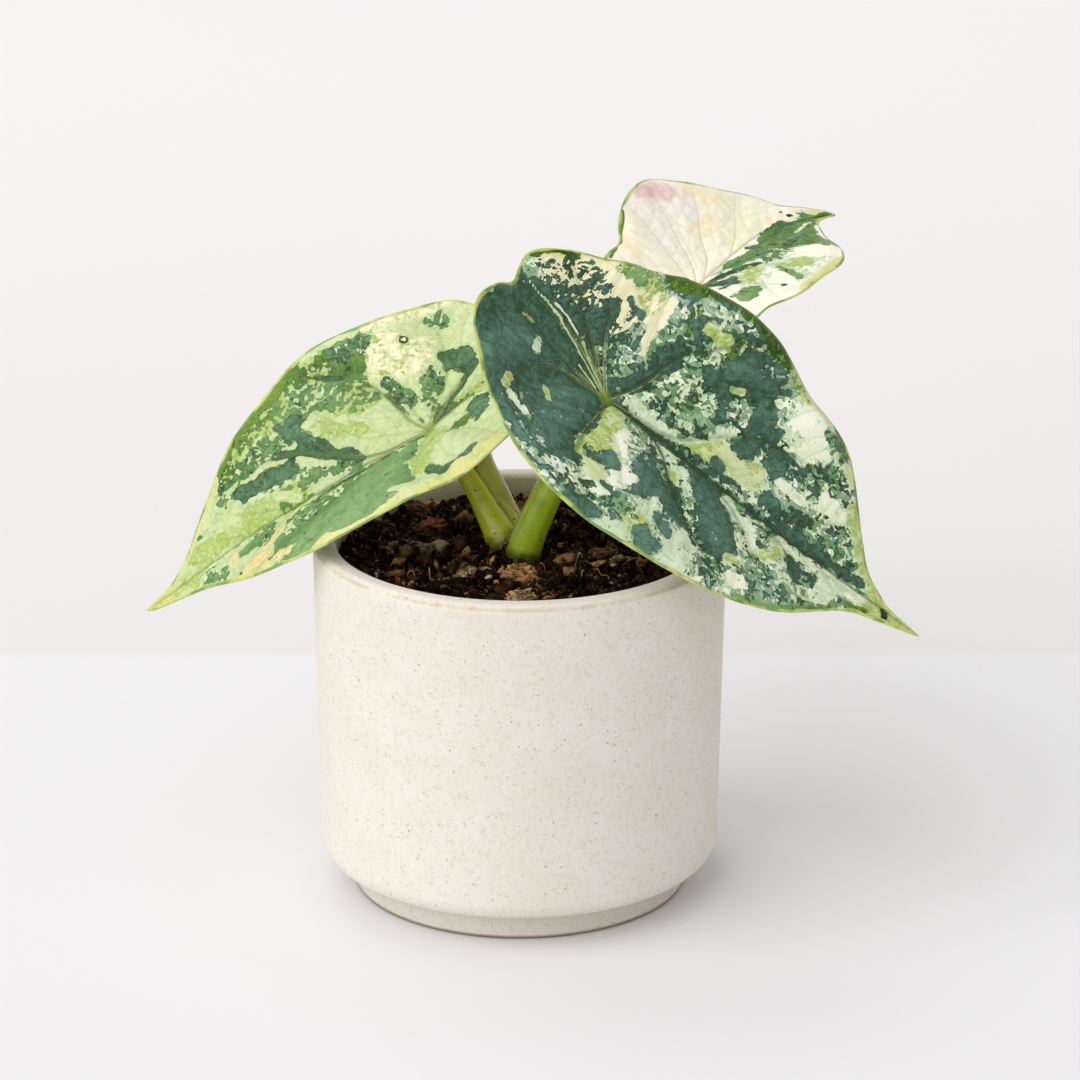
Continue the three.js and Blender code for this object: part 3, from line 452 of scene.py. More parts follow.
class SoilSettings(bpy.types.PropertyGroup):
    """Bark mix in the pot."""

    relief: length("Relief", "Height of the crumbly relief", 2.1 * MM)
    fibres: whole("Fibres", "Short root fibres on the top", 70)
    crumbs: whole("Crumbs", "Loose crumbs on the top", 2100)
    dark: colour("Dark", "Damp peat", (0.004, 0.002, 0.001))
    brown: colour("Brown", "Dry crumbs", (0.046, 0.019, 0.006))
    tan: colour("Tan", "Bark and fibre", (0.38, 0.20, 0.085))
    grit: colour("Grit", "Pale mineral grains", (0.50, 0.38, 0.25))
    stem_base: colour("Stem base", "Soiled base of the stems", (0.05, 0.028, 0.010))


class StalkSettings(bpy.types.PropertyGroup):
    """Leaf stalks."""

    front: colour("Front stalk", "Glossy light green", (0.36, 0.50, 0.018))
    left: colour("Left stalk", "Yellow green", (0.64, 0.64, 0.02))
    back: colour("Back stalk", "Olive", (0.60, 0.56, 0.12))
    base: colour("Base", "Pale sheath at the foot", (0.56, 0.58, 0.13))
    streak: colour("Streak", "Faint lengthwise streaks", (0.58, 0.62, 0.10))
    cloud: colour("Cloud", "Darker green clouds", (0.10, 0.20, 0.008))
    freckle: colour("Freckle", "Brown marks", (0.20, 0.085, 0.02))
    # Partly clinging soil and partly a painted shade at the stalk's base
    soil_and_base_shade: colour("Soiled", "Soil that clings to the foot", (0.050, 0.030, 0.006))


class LeafSettings(bpy.types.PropertyGroup):
    """Leaf blades."""

    columns: whole("Columns", "Mesh columns round the margin", 420)
    rings: whole("Rings", "Mesh rings from seat to margin", 100)
    quilt: length("Quilting", "Height of the leaf's swelling between its veins", 1.25 * MM)
    groove: length("Groove", "Depth of the main veins in the upper face", 0.42 * MM)
    ridge: length("Ridge", "Height of the main veins on the underside", 0.55 * MM)
    dark_vein: colour("Dark veins", "Main veins where they are dark", (0.020, 0.055, 0.018))
    pale_vein: colour("Pale veins", "Main veins where they are pale", (0.55, 0.62, 0.22))
    side_vein: colour("Side veins", "Thin side veins on pale tissue", (0.30, 0.42, 0.16))
    side_veins: amount("Side vein strength", "How clearly they show", 0.3)
    left_vein: colour("Left leaf's veins", "Dark veins of the light green leaf", (0.085, 0.16, 0.022))
    # Painted shade: pale tissue is multiplied by these greenish colours in the creases beside the veins
    crease_shade: colour("Crease", "What pale tissue is multiplied by near the veins", (0.84, 0.90, 0.70))
    back_crease_shade: colour("Back leaf's crease", "The same for the cream leaf", (0.94, 0.94, 0.86))
    back_vein: colour("Back leaf veins", "Thin veins of the cream leaf", (0.80, 0.69, 0.50))
    heart: colour("Leaf heart", "Where the veins meet at the stalk", (0.20, 0.30, 0.02))
    margin: colour("Margin", "Thin line along the edge", (0.55, 0.62, 0.16))
    margin_green: colour("Green margin", "The edge line where it is green", (0.16, 0.30, 0.05))
    underside: colour("Underside", "Tint of the lower face", (0.60, 0.72, 0.40))


class StageSettings(bpy.types.PropertyGroup):
    """Floor, lights and camera."""

    floor: colour("Floor", "Pale table", (0.81, 0.805, 0.82))
    far_floor: colour("Far floor", "The warmer far side", (0.84, 0.815, 0.82))
    target: bpy.props.FloatVectorProperty(
        name="Target", description="What the camera looks at", subtype="TRANSLATION", unit="LENGTH",
        default=(5.9 * MM, 0, 104.6 * MM)
    )
    distance: length("Camera distance", "From the target to the camera", 1.6)
    tilt: amount("Camera tilt", "How far the camera looks down", np.radians(19.85), "ROTATION")
    lens: amount("Lens", "Focal length in millimetres", 184.1)
    key: amount("Key light", "Strength of the soft light from the left", 1.85)
    window: amount("Window", "Power of the soft box that gives the leaves their sheen", 3)
    sky: amount("Sky", "Strength of the light from all round", 0.66)


# Curves and surfaces


def smooth_step(low, high, value):
    """0 below low, 1 above high, and an even S between."""
    t = np.clip((value - low) / (high - low), 0, 1)
    return t * t * (3 - 2 * t)


def round_arc(centre, radii, start, end, steps):
    """Points on an elliptical arc from angle start to end in degrees: centre plus radii times (cos, sin)."""
    angle = np.radians(np.linspace(start, end, steps))
    return np.stack([centre[0] + radii[0] * np.cos(angle), centre[1] + radii[1] * np.sin(angle)], 1)


def full_turn(columns):
    """Angles of evenly spaced columns all round, in radians."""
    return np.linspace(0, 2 * np.pi, columns, endpoint=False)


def run_along(line):
    """How far along the line each of its places is."""
    return np.concatenate([[0], np.cumsum(np.linalg.norm(np.diff(line, axis=0), axis=1))])


def straight(start, end, steps):
    """Points evenly along a line, without its ends."""
    t = np.linspace(0, 1, steps + 2)[1:-1, None]
    return np.asarray(start) * (1 - t) + np.asarray(end) * t


def through(places, spacing):
    """A smooth line through places, resampled to even spacing. Each stretch is a Catmull-Rom cubic whose
    knots are the square roots of the distances, so that it makes no loops."""
    places = np.asarray(places, float)
    ends = np.vstack([2 * places[0] - places[1], places, 2 * places[-1] - places[-2]])
    gaps = np.maximum(np.linalg.norm(np.diff(ends, axis=0), axis=1), 1e-9) ** 0.5
    dense = []
    for i in range(1, len(ends) - 2):
        before, here, after = gaps[i - 1:i + 2]
        p0, p1, p2, p3 = ends[i - 1:i + 3]
        slope1 = here * ((p1 - p0) / before - (p2 - p0) / (before + here) + (p2 - p1) / here)
        slope2 = here * ((p2 - p1) / here - (p3 - p1) / (here + after) + (p3 - p2) / after)
        t = np.linspace(0, 1, 24, endpoint=False)[:, None]
        dense.append(
            (2 * t**3 - 3 * t**2 + 1) * p1 + (t**3 - 2 * t**2 + t) * slope1
            + (3 * t**2 - 2 * t**3) * p2 + (t**3 - t**2) * slope2
        )
    dense = np.vstack([*dense, places[-1:]])
    run = run_along(dense)
    count = max(2, int(round(run[-1] / spacing)) + 1)
    at = np.linspace(0, run[-1], count)
    return np.stack([np.interp(at, run, dense[:, k]) for k in range(dense.shape[1])], 1)


def value_noise(places, size, seed):
    """Smooth noise from -1 to 1: random values at the corners of a lattice of the given size, blended
    between the corners by an even S in each direction."""
    table = rng(seed).uniform(-1, 1, (64, 64, 64) if places.shape[1] == 3 else (64, 64))
    scaled = places / size
    cell = np.floor(scaled).astype(int)
    t = scaled - cell
    t = t * t * (3 - 2 * t)
    total = 0
    dims = places.shape[1]
    for corner in np.ndindex(*(2,) * dims):
        weight = np.prod([t[:, k] if corner[k] else 1 - t[:, k] for k in range(dims)], axis=0)
        total = total + weight * table[tuple((cell[:, k] + corner[k]) % 64 for k in range(dims))]
    return total


def layered_noise(places, size, seed, octaves=4, fade=0.5):
    """Value noise at the given size plus finer layers, each half the size and weaker by fade."""
    return sum(value_noise(places, size / 2**k, seed + k) * fade**k for k in range(octaves))


def nearest_line(places, starts, ends, widths=None):
    """For each place: the signed distance to the nearest of the segments, positive on its left, and that
    segment's number. With widths, the nearest is the one whose side is nearest. Places are taken by cells
    of a coarse grid, each with only the segments that can be nearest to one of its places."""
    chosen = np.zeros(len(places), int)
    signed = np.zeros(len(places))
    along = ends - starts
    square = np.maximum((along**2).sum(1), 1e-12)
    size = 9.0
    cell = np.floor(places / size).astype(int)
    keys, member = np.unique(cell, axis=0, return_inverse=True)
    order = np.argsort(member.ravel(), kind="stable")
    bounds = np.concatenate([[0], np.cumsum(np.bincount(member.ravel()))])
    slack = size * 1.42 + np.sqrt(square.max()) + (0 if widths is None else widths.max())
    for number, key in enumerate(keys):
        rows = order[bounds[number]:bounds[number + 1]]
        to_middle = np.linalg.norm((starts + ends) / 2 - (key + 0.5) * size, axis=1)
        near = np.flatnonzero(to_middle <= to_middle.min() + slack)
        rel = places[rows, None] - starts[near]
        t = np.clip((rel * along[near]).sum(2) / square[near], 0, 1)
        distance = np.linalg.norm(rel - t[..., None] * along[near], axis=2)
        pick = np.argmin(distance if widths is None else distance - widths[near] / 2, 1)
        line = np.arange(len(rows))
        best = near[pick]
        side = along[best, 0] * rel[line, pick, 1] - along[best, 1] * rel[line, pick, 0]
        chosen[rows] = best
        signed[rows] = np.where(side >= 0, 1, -1) * distance[line, pick]
    return signed, chosen


# Meshes


def build_mesh(name, corners, faces, body=BODY, smooth=True):
    """An object at the origin from corner places in millimetres and a list of faces."""
    if not np.isfinite(corners).all():
        raise ValueError(f"{name} has corners without a place")
    mesh = bpy.data.meshes.new(name)
    mesh.from_pydata((np.asarray(corners) * MM).tolist(), [], faces)
    mesh.polygons.foreach_set("use_smooth", np.full(len(mesh.polygons), smooth))
    mesh.update()
    piece = bpy.data.objects.new(name, mesh)
    bpy.context.scene.collection.objects.link(piece)
    if body:
        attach(piece, body)
    return piece


def store(piece, name, values):
    """Keeps a number, or three, for each corner of the piece, for its material to read."""
    values = np.asarray(values, np.float32)
    kind = "FLOAT" if values.ndim == 1 else "FLOAT_VECTOR"
    layer = piece.data.attributes.new(name, kind, "POINT")
    layer.data.foreach_set("value" if values.ndim == 1 else "vector", values.ravel())


def ring_faces(rings, columns, offset=0, flip=False):
    """Four-sided faces between rings of columns corners each, closed round."""
    ring = np.arange(rings - 1)[:, None] * columns
    column = np.arange(columns)[None]
    beside = (column + 1) % columns
    faces = np.stack([ring + column, ring + columns + column, ring + columns + beside, ring + beside], -1)
    faces = faces.reshape(-1, 4) + offset
    return (faces[:, ::-1] if flip else faces).tolist()


def fan_faces(middle, ring_start, columns, flip=False):
    """Three-sided faces from one middle corner to a ring."""
    column = np.arange(columns)
    faces = np.stack([np.full(columns, middle), ring_start + column, ring_start + (column + 1) % columns], -1)
    return (faces[:, ::-1] if flip else faces).tolist()


def closed_faces(rings, columns, offset=0, flip=False):
    """Faces of a closed surface whose corners are the rings in order, and then the middles that close the
    first and the last ring. Without flip they point outwards where the rings run down from the top."""
    middles = offset + rings * columns
    faces = ring_faces(rings, columns, offset, flip)
    faces += fan_faces(middles, offset, columns, flip)
    faces += fan_faces(middles + 1, middles - columns, columns, not flip)
    return faces


def turned_surface(profile, columns):
    """Corners and faces of a profile of (radius, height) turned about the upright axis. The profile runs
    from the underside's middle, up the outside and down the inside, and both ends lie on the axis."""
    angle = full_turn(columns)
    rings = profile[1:-1]
    corners = np.stack([
        rings[:, :1] * np.cos(angle), rings[:, :1] * np.sin(angle), np.repeat(rings[:, 1:], columns, 1)
    ], -1).reshape(-1, 3)
    corners = np.vstack([corners, [0, 0, profile[0, 1]], [0, 0, profile[-1, 1]]])
    return corners, closed_faces(len(rings), columns, flip=True)


# Node trees


class Graph:
    """A node tree with short calls for adding nodes and links."""

    def __init__(self, tree):
        self.tree = tree

    def add(self, kind, settings=None, **inputs):
        """Adds a shader node. Inputs name its sockets, with _ for a space, and give a value or an output."""
        node = self.tree.nodes.new("ShaderNode" + kind)
        for key, value in (settings or {}).items():
            setattr(node, key, value)
        for key, value in inputs.items():
            socket = node.inputs[int(key[1:])] if key[1:].isdigit() else node.inputs[key.replace("_", " ")]
            self.feed(socket, value)
        return node

    def feed(self, socket, value):
        """Sets a socket to a value, or links an output to it."""
        if isinstance(value, bpy.types.NodeSocket):
            self.tree.links.new(value, socket)
        elif socket.type == "RGBA" and len(value) == 3:
            socket.default_value = (*value, 1)
        else:
            socket.default_value = value

    def math(self, operation, first, second=0.0, third=0.0, clamp=False):
        """One step of arithmetic."""
        node = self.add("Math", {"operation": operation, "use_clamp": clamp}, _0=first, _1=second)
        if operation == "MULTIPLY_ADD":
            self.feed(node.inputs[2], third)
        return node.outputs[0]

    def between(self, value, low, high, start=0.0, end=1.0, smooth=True):
        """A value carried from low..high to start..end, held at both ends."""
        kind = "SMOOTHSTEP" if smooth else "LINEAR"
        node = self.add("MapRange", {"interpolation_type": kind}, Value=value, From_Min=low, From_Max=high,
                        To_Min=start, To_Max=end)
        return node.outputs[0]

    def mix(self, share, first, second, blend="MIX"):
        """Two colours mixed by a share."""
        node = self.add("Mix", {"data_type": "RGBA", "blend_type": blend, "clamp_factor": True})
        self.feed(node.inputs[0], share)
        self.feed(node.inputs[6], first)
        self.feed(node.inputs[7], second)
        return node.outputs[2]

    def noise(self, place, scale, detail=3.0, roughness=0.5, distortion=0.0):
        """Layered noise, 0 to 1."""
        node = self.add("TexNoise", None, Vector=place, Scale=scale, Detail=detail,
                        Roughness=roughness, Distortion=distortion)
        return node.outputs[0]

    def shifted(self, place, shift):
        """A place moved by a fixed step, so that noises differ."""
        return self.add("VectorMath", {"operation": "ADD"}, _0=place, _1=shift).outputs[0]

    def stored(self, name, output="Fac"):
        """What the mesh keeps under a name."""
        return self.add("Attribute", {"attribute_name": name}).outputs[output]

    def place(self):
        """Places on the piece itself, in metres."""
        return self.add("TexCoord").outputs["Object"]

    def axes(self, vector):
        """A vector's three numbers."""
        return self.add("SeparateXYZ", None, Vector=vector).outputs

    def length(self, vector):
        """A vector's length."""
        return self.add("VectorMath", {"operation": "LENGTH"}, _0=vector).outputs["Value"]

    def stretched(self, place, by):
        """A place scaled along each axis."""
        return self.add("VectorMath", {"operation": "MULTIPLY"}, _0=place, _1=by).outputs[0]

    def product(self, first, *others):
        """Numbers multiplied one after the other."""
        for other in others:
            first = self.math("MULTIPLY", first, other)
        return first

    def apart(self, first, second):
        """How far two numbers are apart."""
        return self.math("ABSOLUTE", self.math("SUBTRACT", first, second))

    def tinted(self, first, second):
        """Two colours multiplied."""
        return self.mix(1.0, first, second, "MULTIPLY")

    def dots(self, place, scale):
        """Scattered dots: the distance to the nearest, and two random numbers that belong to it."""
        node = self.add("TexVoronoi", None, Vector=place, Scale=scale)
        chance = self.add("SeparateColor", None, Color=node.outputs["Color"]).outputs
        return node.outputs["Distance"], chance[0], chance[1]

    def finish(self, shader, painted, roughness, height, strength, depth):
        """Gives a shader its colour, its roughness, and a bump of the given depth from a height."""
        self.feed(shader.inputs["Base Color"], painted)
        self.feed(shader.inputs["Roughness"], roughness)
        bump = self.add("Bump", None, Strength=strength, Distance=depth, Height=height)
        self.feed(shader.inputs["Normal"], bump.outputs[0])

    def group(self, shared, **inputs):
        """Places a shared node group."""
        node = self.tree.nodes.new("ShaderNodeGroup")
        node.node_tree = shared
        for key, value in inputs.items():
            self.feed(node.inputs[key.replace("_", " ")], value)
        return node


def shared_group(name, inputs, outputs):
    """A new node group with named inputs and outputs, as (tree, graph, input node, output node)."""
    tree = bpy.data.node_groups.new(name, "ShaderNodeTree")
    for label, kind in inputs:
        tree.interface.new_socket(label, in_out="INPUT", socket_type=kind)
    for label, kind in outputs:
        tree.interface.new_socket(label, in_out="OUTPUT", socket_type=kind)
    graph = Graph(tree)
    return tree, graph, tree.nodes.new("NodeGroupInput"), tree.nodes.new("NodeGroupOutput")


FLOAT, VECTOR, COLOUR = "NodeSocketFloat", "NodeSocketVector", "NodeSocketColor"


def new_material(name, **fixed):
    """A material as (material, graph, Principled BSDF). Fixed names the shader's plain values."""
    material = bpy.data.materials.new(name)
    material.use_nodes = True
    graph = Graph(material.node_tree)
    shader = material.node_tree.nodes["Principled BSDF"]
    for key, value in fixed.items():
        shader.inputs[key.replace("_", " ")].default_value = value
    return material, graph, shader


# Layers of the ragged patches: name, softness of the edge and how far the rind inside it is darkened
PATCH_LAYERS = (("Light", 0.30, 0.85), ("Green", 0.12, 0.62), ("Dark", 0.05, 0.42))


def patches_group():
    """Ragged patches: three layers over a pale ground, each showing where its level plus noise is above 0.
    The noise has curled large shapes, hooked ones, fine crumbs and scattered dots, so that patches break
    into islands at their edges. The light layer's edges are soft, like a wash, and the dark one's crisp."""
    if "Ragged Patches" in bpy.data.node_groups:
        return bpy.data.node_groups["Ragged Patches"]
    tree, graph, given, result = shared_group(
        "Ragged Patches",
        [("Place", VECTOR), ("Levels", VECTOR), ("Pale", COLOUR), ("Light", COLOUR), ("Green", COLOUR),
         ("Dark", COLOUR), ("Raggedness", FLOAT)],
        [("Color", COLOUR), ("Dark Share", FLOAT)],
    )
    levels = graph.axes(given.outputs["Levels"])
    whole, painted = given.outputs["Place"], given.outputs["Pale"]
    for number, (name, soft, edge) in enumerate(PATCH_LAYERS):
        place = graph.shifted(whole, (31.7 * number, 17.3 * number, 9.1 * number))
        drift = graph.shifted(whole, (1.6 * number, 0.9 * number, 0))
        curled = graph.noise(drift, 0.21, detail=1, distortion=1.5)
        hooked = graph.shifted(place, (3, 5, 7))
        hooked = graph.noise(hooked, 0.36, detail=0.9, roughness=0.42, distortion=1.2)
        crumbs = graph.noise(graph.shifted(place, (6, 1, 2)), 1.5, detail=1)
        dots = graph.add("TexVoronoi", {"feature": "SMOOTH_F1"}, Vector=place, Scale=0.62,
                         Smoothness=0.2, Randomness=1.0).outputs["Distance"]
        rough = graph.product(graph.math("SUBTRACT", 0.42, dots), 0.30)
        for noise, weight in ((curled, 1.15), (hooked, 1.25), (crumbs, 0.20)):
            rough = graph.math("MULTIPLY_ADD", graph.math("SUBTRACT", noise, 0.5), weight, rough)
        value = graph.math("MULTIPLY_ADD", rough, given.outputs["Raggedness"], levels[number])
        share = graph.between(value, -soft, soft)
        rind = graph.tinted(given.outputs[name], (0.94 * edge, edge, 0.88 * edge))
        tone = graph.mix(graph.between(value, soft * 0.5, 0.75), rind, given.outputs[name])
        painted = graph.mix(share, painted, tone)
    graph.feed(result.inputs["Color"], painted)
    graph.feed(result.inputs["Dark Share"], share)
    return tree


def line_group():
    """A soft line along a vein: strongest where the distance across is 0, fading as a bell of the given
    width, and only as far as the near value reaches."""
    if "Vein Line" in bpy.data.node_groups:
        return bpy.data.node_groups["Vein Line"]
    tree, graph, given, result = shared_group(
        "Vein Line", [("Across", FLOAT), ("Near", FLOAT), ("Width", FLOAT)], [("Line", FLOAT)]
    )
    share = graph.math("DIVIDE", given.outputs["Across"], given.outputs["Width"])
    bell = graph.math("EXPONENT", graph.product(share, share, -1.0))
    line = graph.math("MULTIPLY", bell, given.outputs["Near"], clamp=True)
    graph.feed(result.inputs["Line"], line)
    return tree


def grain_group():
    """Fine grain: two sizes of noise as one height, and the finer one as a tone from 0 to 1."""
    if "Fine Grain" in bpy.data.node_groups:
        return bpy.data.node_groups["Fine Grain"]
    tree, graph, given, result = shared_group(
        "Fine Grain", [("Place", VECTOR), ("Coarse Scale", FLOAT), ("Fine Scale", FLOAT)],
        [("Height", FLOAT), ("Tone", FLOAT)],
    )
    coarse = graph.noise(given.outputs["Place"], given.outputs["Coarse Scale"])
    fine = graph.noise(given.outputs["Place"], given.outputs["Fine Scale"], detail=2, roughness=0.6)
    graph.feed(result.inputs["Height"], graph.math("MULTIPLY_ADD", fine, 0.4, coarse))
    graph.feed(result.inputs["Tone"], graph.between(fine, 0.3, 0.7))
    return tree


# Leaf blades


# What sets the leaves' surfaces apart: the height of their quilting, the seed of their noise, how ragged
# their patches are, how much of the light tissue lies as a wash over the pale one, how green that wash is,
# the half width of the dark band along the veins in millimetres, and how clear the side veins are
LOOKS = {
    "front": {"quilt": 1.0, "seed": 11, "ragged": 2.9, "wash": 0.3, "green": 0.0, "band": 0.85, "side": 1.0},
    "left": {"quilt": 1.0, "seed": 23, "ragged": 1.8, "wash": 0.6, "green": 0.55, "band": 0.5, "side": 1.0},
    "back": {"quilt": 0.6, "seed": 37, "ragged": 2.1, "wash": 0.3, "green": 0.0, "band": 0.4, "side": 0.35},
}
# The layers from the ground up, and the tissue that each has where no stroke gives it another
LAYERS = {"pale": "white", "light": "mint", "green": "leaf green", "dark": "deep"}
# Each tissue is multiplied by the first colour beside a vein, a painted shade, and by the second where
# the leaf swells, a painted sheen.
DARK_VEIN_SHADE_AND_SHEEN = (0.28, 0.40, 0.22), (1.62, 1.46, 1.62)
GREEN_VEIN_SHADE_AND_SHEEN = (0.40, 0.60, 0.32), (1.28, 1.16, 1.24)
PALE_SWELL_SHEEN = (1.05, 1.04, 1.05)
PALE_SPECK = (0.62, 0.72, 0.50)


def margin_radius(leaf, bearing):
    """Distance from the seat to the margin at bearings in degrees from the tip: a cubic between the given
    values, smooth everywhere but at the tip, where it comes to a point."""
    bearings = np.array(MARGIN_BEARINGS + [360 - b for b in MARGIN_BEARINGS[-2::-1]], float)
    values = np.array(leaf["left"] + leaf["right"][-2::-1], float)
    gaps = np.diff(bearings)
    slopes = np.diff(values) / gaps
    tangents = np.empty_like(values)
    tangents[0], tangents[-1] = slopes[0], slopes[-1]
    tangents[1:-1] = (slopes[:-1] * gaps[:-1] + slopes[1:] * gaps[1:]) / (gaps[:-1] + gaps[1:])
    bearing = np.mod(bearing, 360)
    i = np.clip(np.searchsorted(bearings, bearing, side="right") - 1, 0, len(gaps) - 1)
    t = (bearing - bearings[i]) / gaps[i]
    return (
        (2 * t**3 - 3 * t**2 + 1) * values[i] + (t**3 - 2 * t**2 + t) * gaps[i] * tangents[i]
        + (3 * t**2 - 2 * t**3) * values[i + 1] + (t**3 - t**2) * gaps[i] * tangents[i + 1]
    )


def bent(leaf, along, left):
    """Flat leaf places bent into the leaf's own frame. The midrib's direction turns by droop and sway with
    the distance along it, and each half rises by its fold, eased in near the midrib, and its curl with the
    distance from it. Both directions are summed in twelve steps."""
    droop, ease = leaf["droop"]
    half = (left <= 0).astype(int)
    fold, curl = np.array(leaf["fold"])[half], np.array(leaf["curl"])[half]
    start, end, by = FLATTEN
    tip = leaf["left"][0]
    flat = 1 - by * smooth_step(start * tip, end * tip, along)
    out = np.abs(left)

    def pitch(a):
        return np.radians(np.where(a > 0, droop * a + ease * a * a, leaf["lobe_curl"] * a))

    def sway(a):
        return np.radians(np.where(a > 0, leaf["sway"] * a * a, leaf["lobe_sway"] * a))

    steps = 12
    x = y = z = across = lift = 0
    for t in (np.arange(steps) + 0.5) / steps:
        up, turn = pitch(along * t), sway(along * t)
        x = x + np.cos(up) * np.cos(turn) * along / steps
        y = y + np.cos(up) * np.sin(turn) * along / steps
        z = z + np.sin(up) * along / steps
        rise = np.radians(flat * (fold * (1 - np.exp(-out * t / FOLD_ROUND)) + curl * out * t))
        across = across + np.cos(rise) * out / steps
        lift = lift + np.sin(rise) * out / steps
    up, turn, side = pitch(along), sway(along), np.sign(left) * across
    return np.stack([
        x - lift * np.sin(up) - side * np.sin(turn), y + side * np.cos(turn), z + lift * np.cos(up)
    ], -1)


def blade_middle(leaf, bearing, reach):
    """The blade's middle surface at bearings in degrees and reach, 0 at the seat and 1 at the margin: the
    bent leaf, plus a wave that grows to the margin, less the fall of a rolled edge."""
    radius = margin_radius(leaf, bearing) * reach
    angle = np.radians(bearing)
    along, left = radius * np.cos(angle), radius * np.sin(angle)
    place = bent(leaf, along, left)
    height, count, phase = leaf["wave"]
    signed = np.where(bearing > 180, angle - 2 * np.pi, angle)
    place[..., 2] += height * reach**3 * np.sin(count * signed + phase)
    if leaf["rolled_edge"]:
        first, last, fall, begin = leaf["rolled_edge"]
        window = smooth_step(first - 15, first + 12, bearing)
        window = window * (1 - smooth_step(last - 12, last + 15, bearing))
        place[..., 2] -= fall * window * np.maximum(0, (reach - begin) / (1 - begin)) ** 2
    return place, along, left


def leaf_axes(leaf):
    """The leaf's frame as rows: towards the tip, to the left, and out of the upper face."""
    heading, pitch, roll = np.radians([leaf["heading"], leaf["pitch"], leaf["roll"]])
    tipward = np.array([np.cos(heading) * np.cos(pitch), np.sin(heading) * np.cos(pitch), np.sin(pitch)])
    level = np.array([-np.sin(heading), np.cos(heading), 0])
    leftward = np.cos(roll) * level + np.sin(roll) * np.cross(tipward, level)
    return np.array([tipward, leftward, np.cross(tipward, leftward)])


def even_bearings(leaf, columns):
    """Bearings at even distances along the margin, starting at the tip."""
    fine = np.linspace(0, 360, 7201)
    radius = margin_radius(leaf, np.minimum(fine, 359.999))
    edge = np.stack([radius * np.cos(np.radians(fine)), radius * np.sin(np.radians(fine))], 1)
    run = run_along(edge)
    return np.interp(np.linspace(0, run[-1], columns, endpoint=False), run, fine)


def vein_segments(veins):
    """The main veins as segments: starts, ends, widths tapering to a third, and tones."""
    starts, ends, widths, tones = [], [], [], []
    for width, tone, *places in veins:
        line = through(np.reshape(places, (-1, 2)), 1.2)
        starts.append(line[:-1])
        ends.append(line[1:])
        widths.append(width * np.linspace(1, 0.35, len(line) - 1))
        tones.append(np.full(len(line) - 1, tone))
    return np.vstack(starts), np.vstack(ends), np.concatenate(widths), np.concatenate(tones)


def side_vein_segments(leaf, veins):
    """Side veins: from every few millimetres of each main vein, to both sides, a line sets off at a wide
    angle, curves towards the tip of the vein it left, and stops where it meets another vein or the margin."""
    starts, ends = vein_segments(veins)[:2]
    place, heading = [], []
    for number, (_, _, *places) in enumerate(veins):
        line = through(np.reshape(places, (-1, 2)), 1.0)
        picks = np.arange(7, len(line) - 3, 6)
        tangent = np.arctan2(*(line[picks + 1] - line[picks - 1]).T[::-1])
        jitter = rng(50 + number).uniform(-0.12, 0.12, len(picks))
        for side in (1, -1):
            place.append(line[picks])
            angle = tangent + side * (np.radians(62) + jitter)
            heading.append(np.stack([angle, np.full(len(picks), -side)], 1))
    place, heading = np.vstack(place), np.vstack(heading)
    angle, turn = heading[:, 0], heading[:, 1]
    alive = np.ones(len(place), bool)
    first, last = [], []
    for step in range(20):
        ahead = place + alive[:, None] * 1.1 * np.stack([np.cos(angle), np.sin(angle)], 1)
        angle = angle + turn * np.radians(2.2)
        bearing = np.degrees(np.arctan2(ahead[:, 1], ahead[:, 0]))
        inside = np.hypot(*ahead.T) < margin_radius(leaf, bearing) - 1.5
        if step > 3:
            inside &= np.abs(nearest_line(ahead, starts, ends)[0]) > 0.8
        alive &= inside
        first.append(place[alive])
        last.append(ahead[alive])
        place = np.where(alive[:, None], ahead, place)
    return np.vstack(first), np.vstack(last)


def paint(places, patches, seed):
    """Levels of the light, green and dark layers and the four layers' colours at flat leaf places. Each
    stroke in turn takes over inside its outline, whose edge is softened and pushed about by noise, so that
    the material's own noise can break it up."""
    push = np.stack([layered_noise(places, 11, seed + shift, 4, 0.6) for shift in (0, 9)], 1)
    levels = np.zeros((len(places), 3))
    tissue = {layer: np.tile(TISSUE[tone], (len(places), 1)).astype(float) for layer, tone in LAYERS.items()}
    for mix, half_width, *line in ((mix, *stroke) for mix, *strokes in patches for stroke in strokes):
        line = np.reshape(line, (-1, 2))
        starts, ends = (line[:-1], line[1:]) if len(line) > 1 else (line, line)
        softness = min(1.9, half_width * 0.75)
        pushed = places + min(2.0, half_width * 0.6) * push
        box = half_width + softness
        near = np.flatnonzero(((pushed > line.min(0) - box) & (pushed < line.max(0) + box)).all(1))
        away = np.abs(nearest_line(pushed[near], starts, ends)[0])
        share = smooth_step(-softness, softness, half_width * 1.08 - away)[:, None]
        target, tones = MIXES[mix]
        levels[near] += share * (np.array(target) - levels[near])
        hard = smooth_step(0.25, 0.75, share)
        for layer, tone in tones.items():
            cover = share if layer == "pale" else hard
            tissue[layer][near] += cover * (np.array(TISSUE[tone]) - tissue[layer][near])
    return levels, tissue


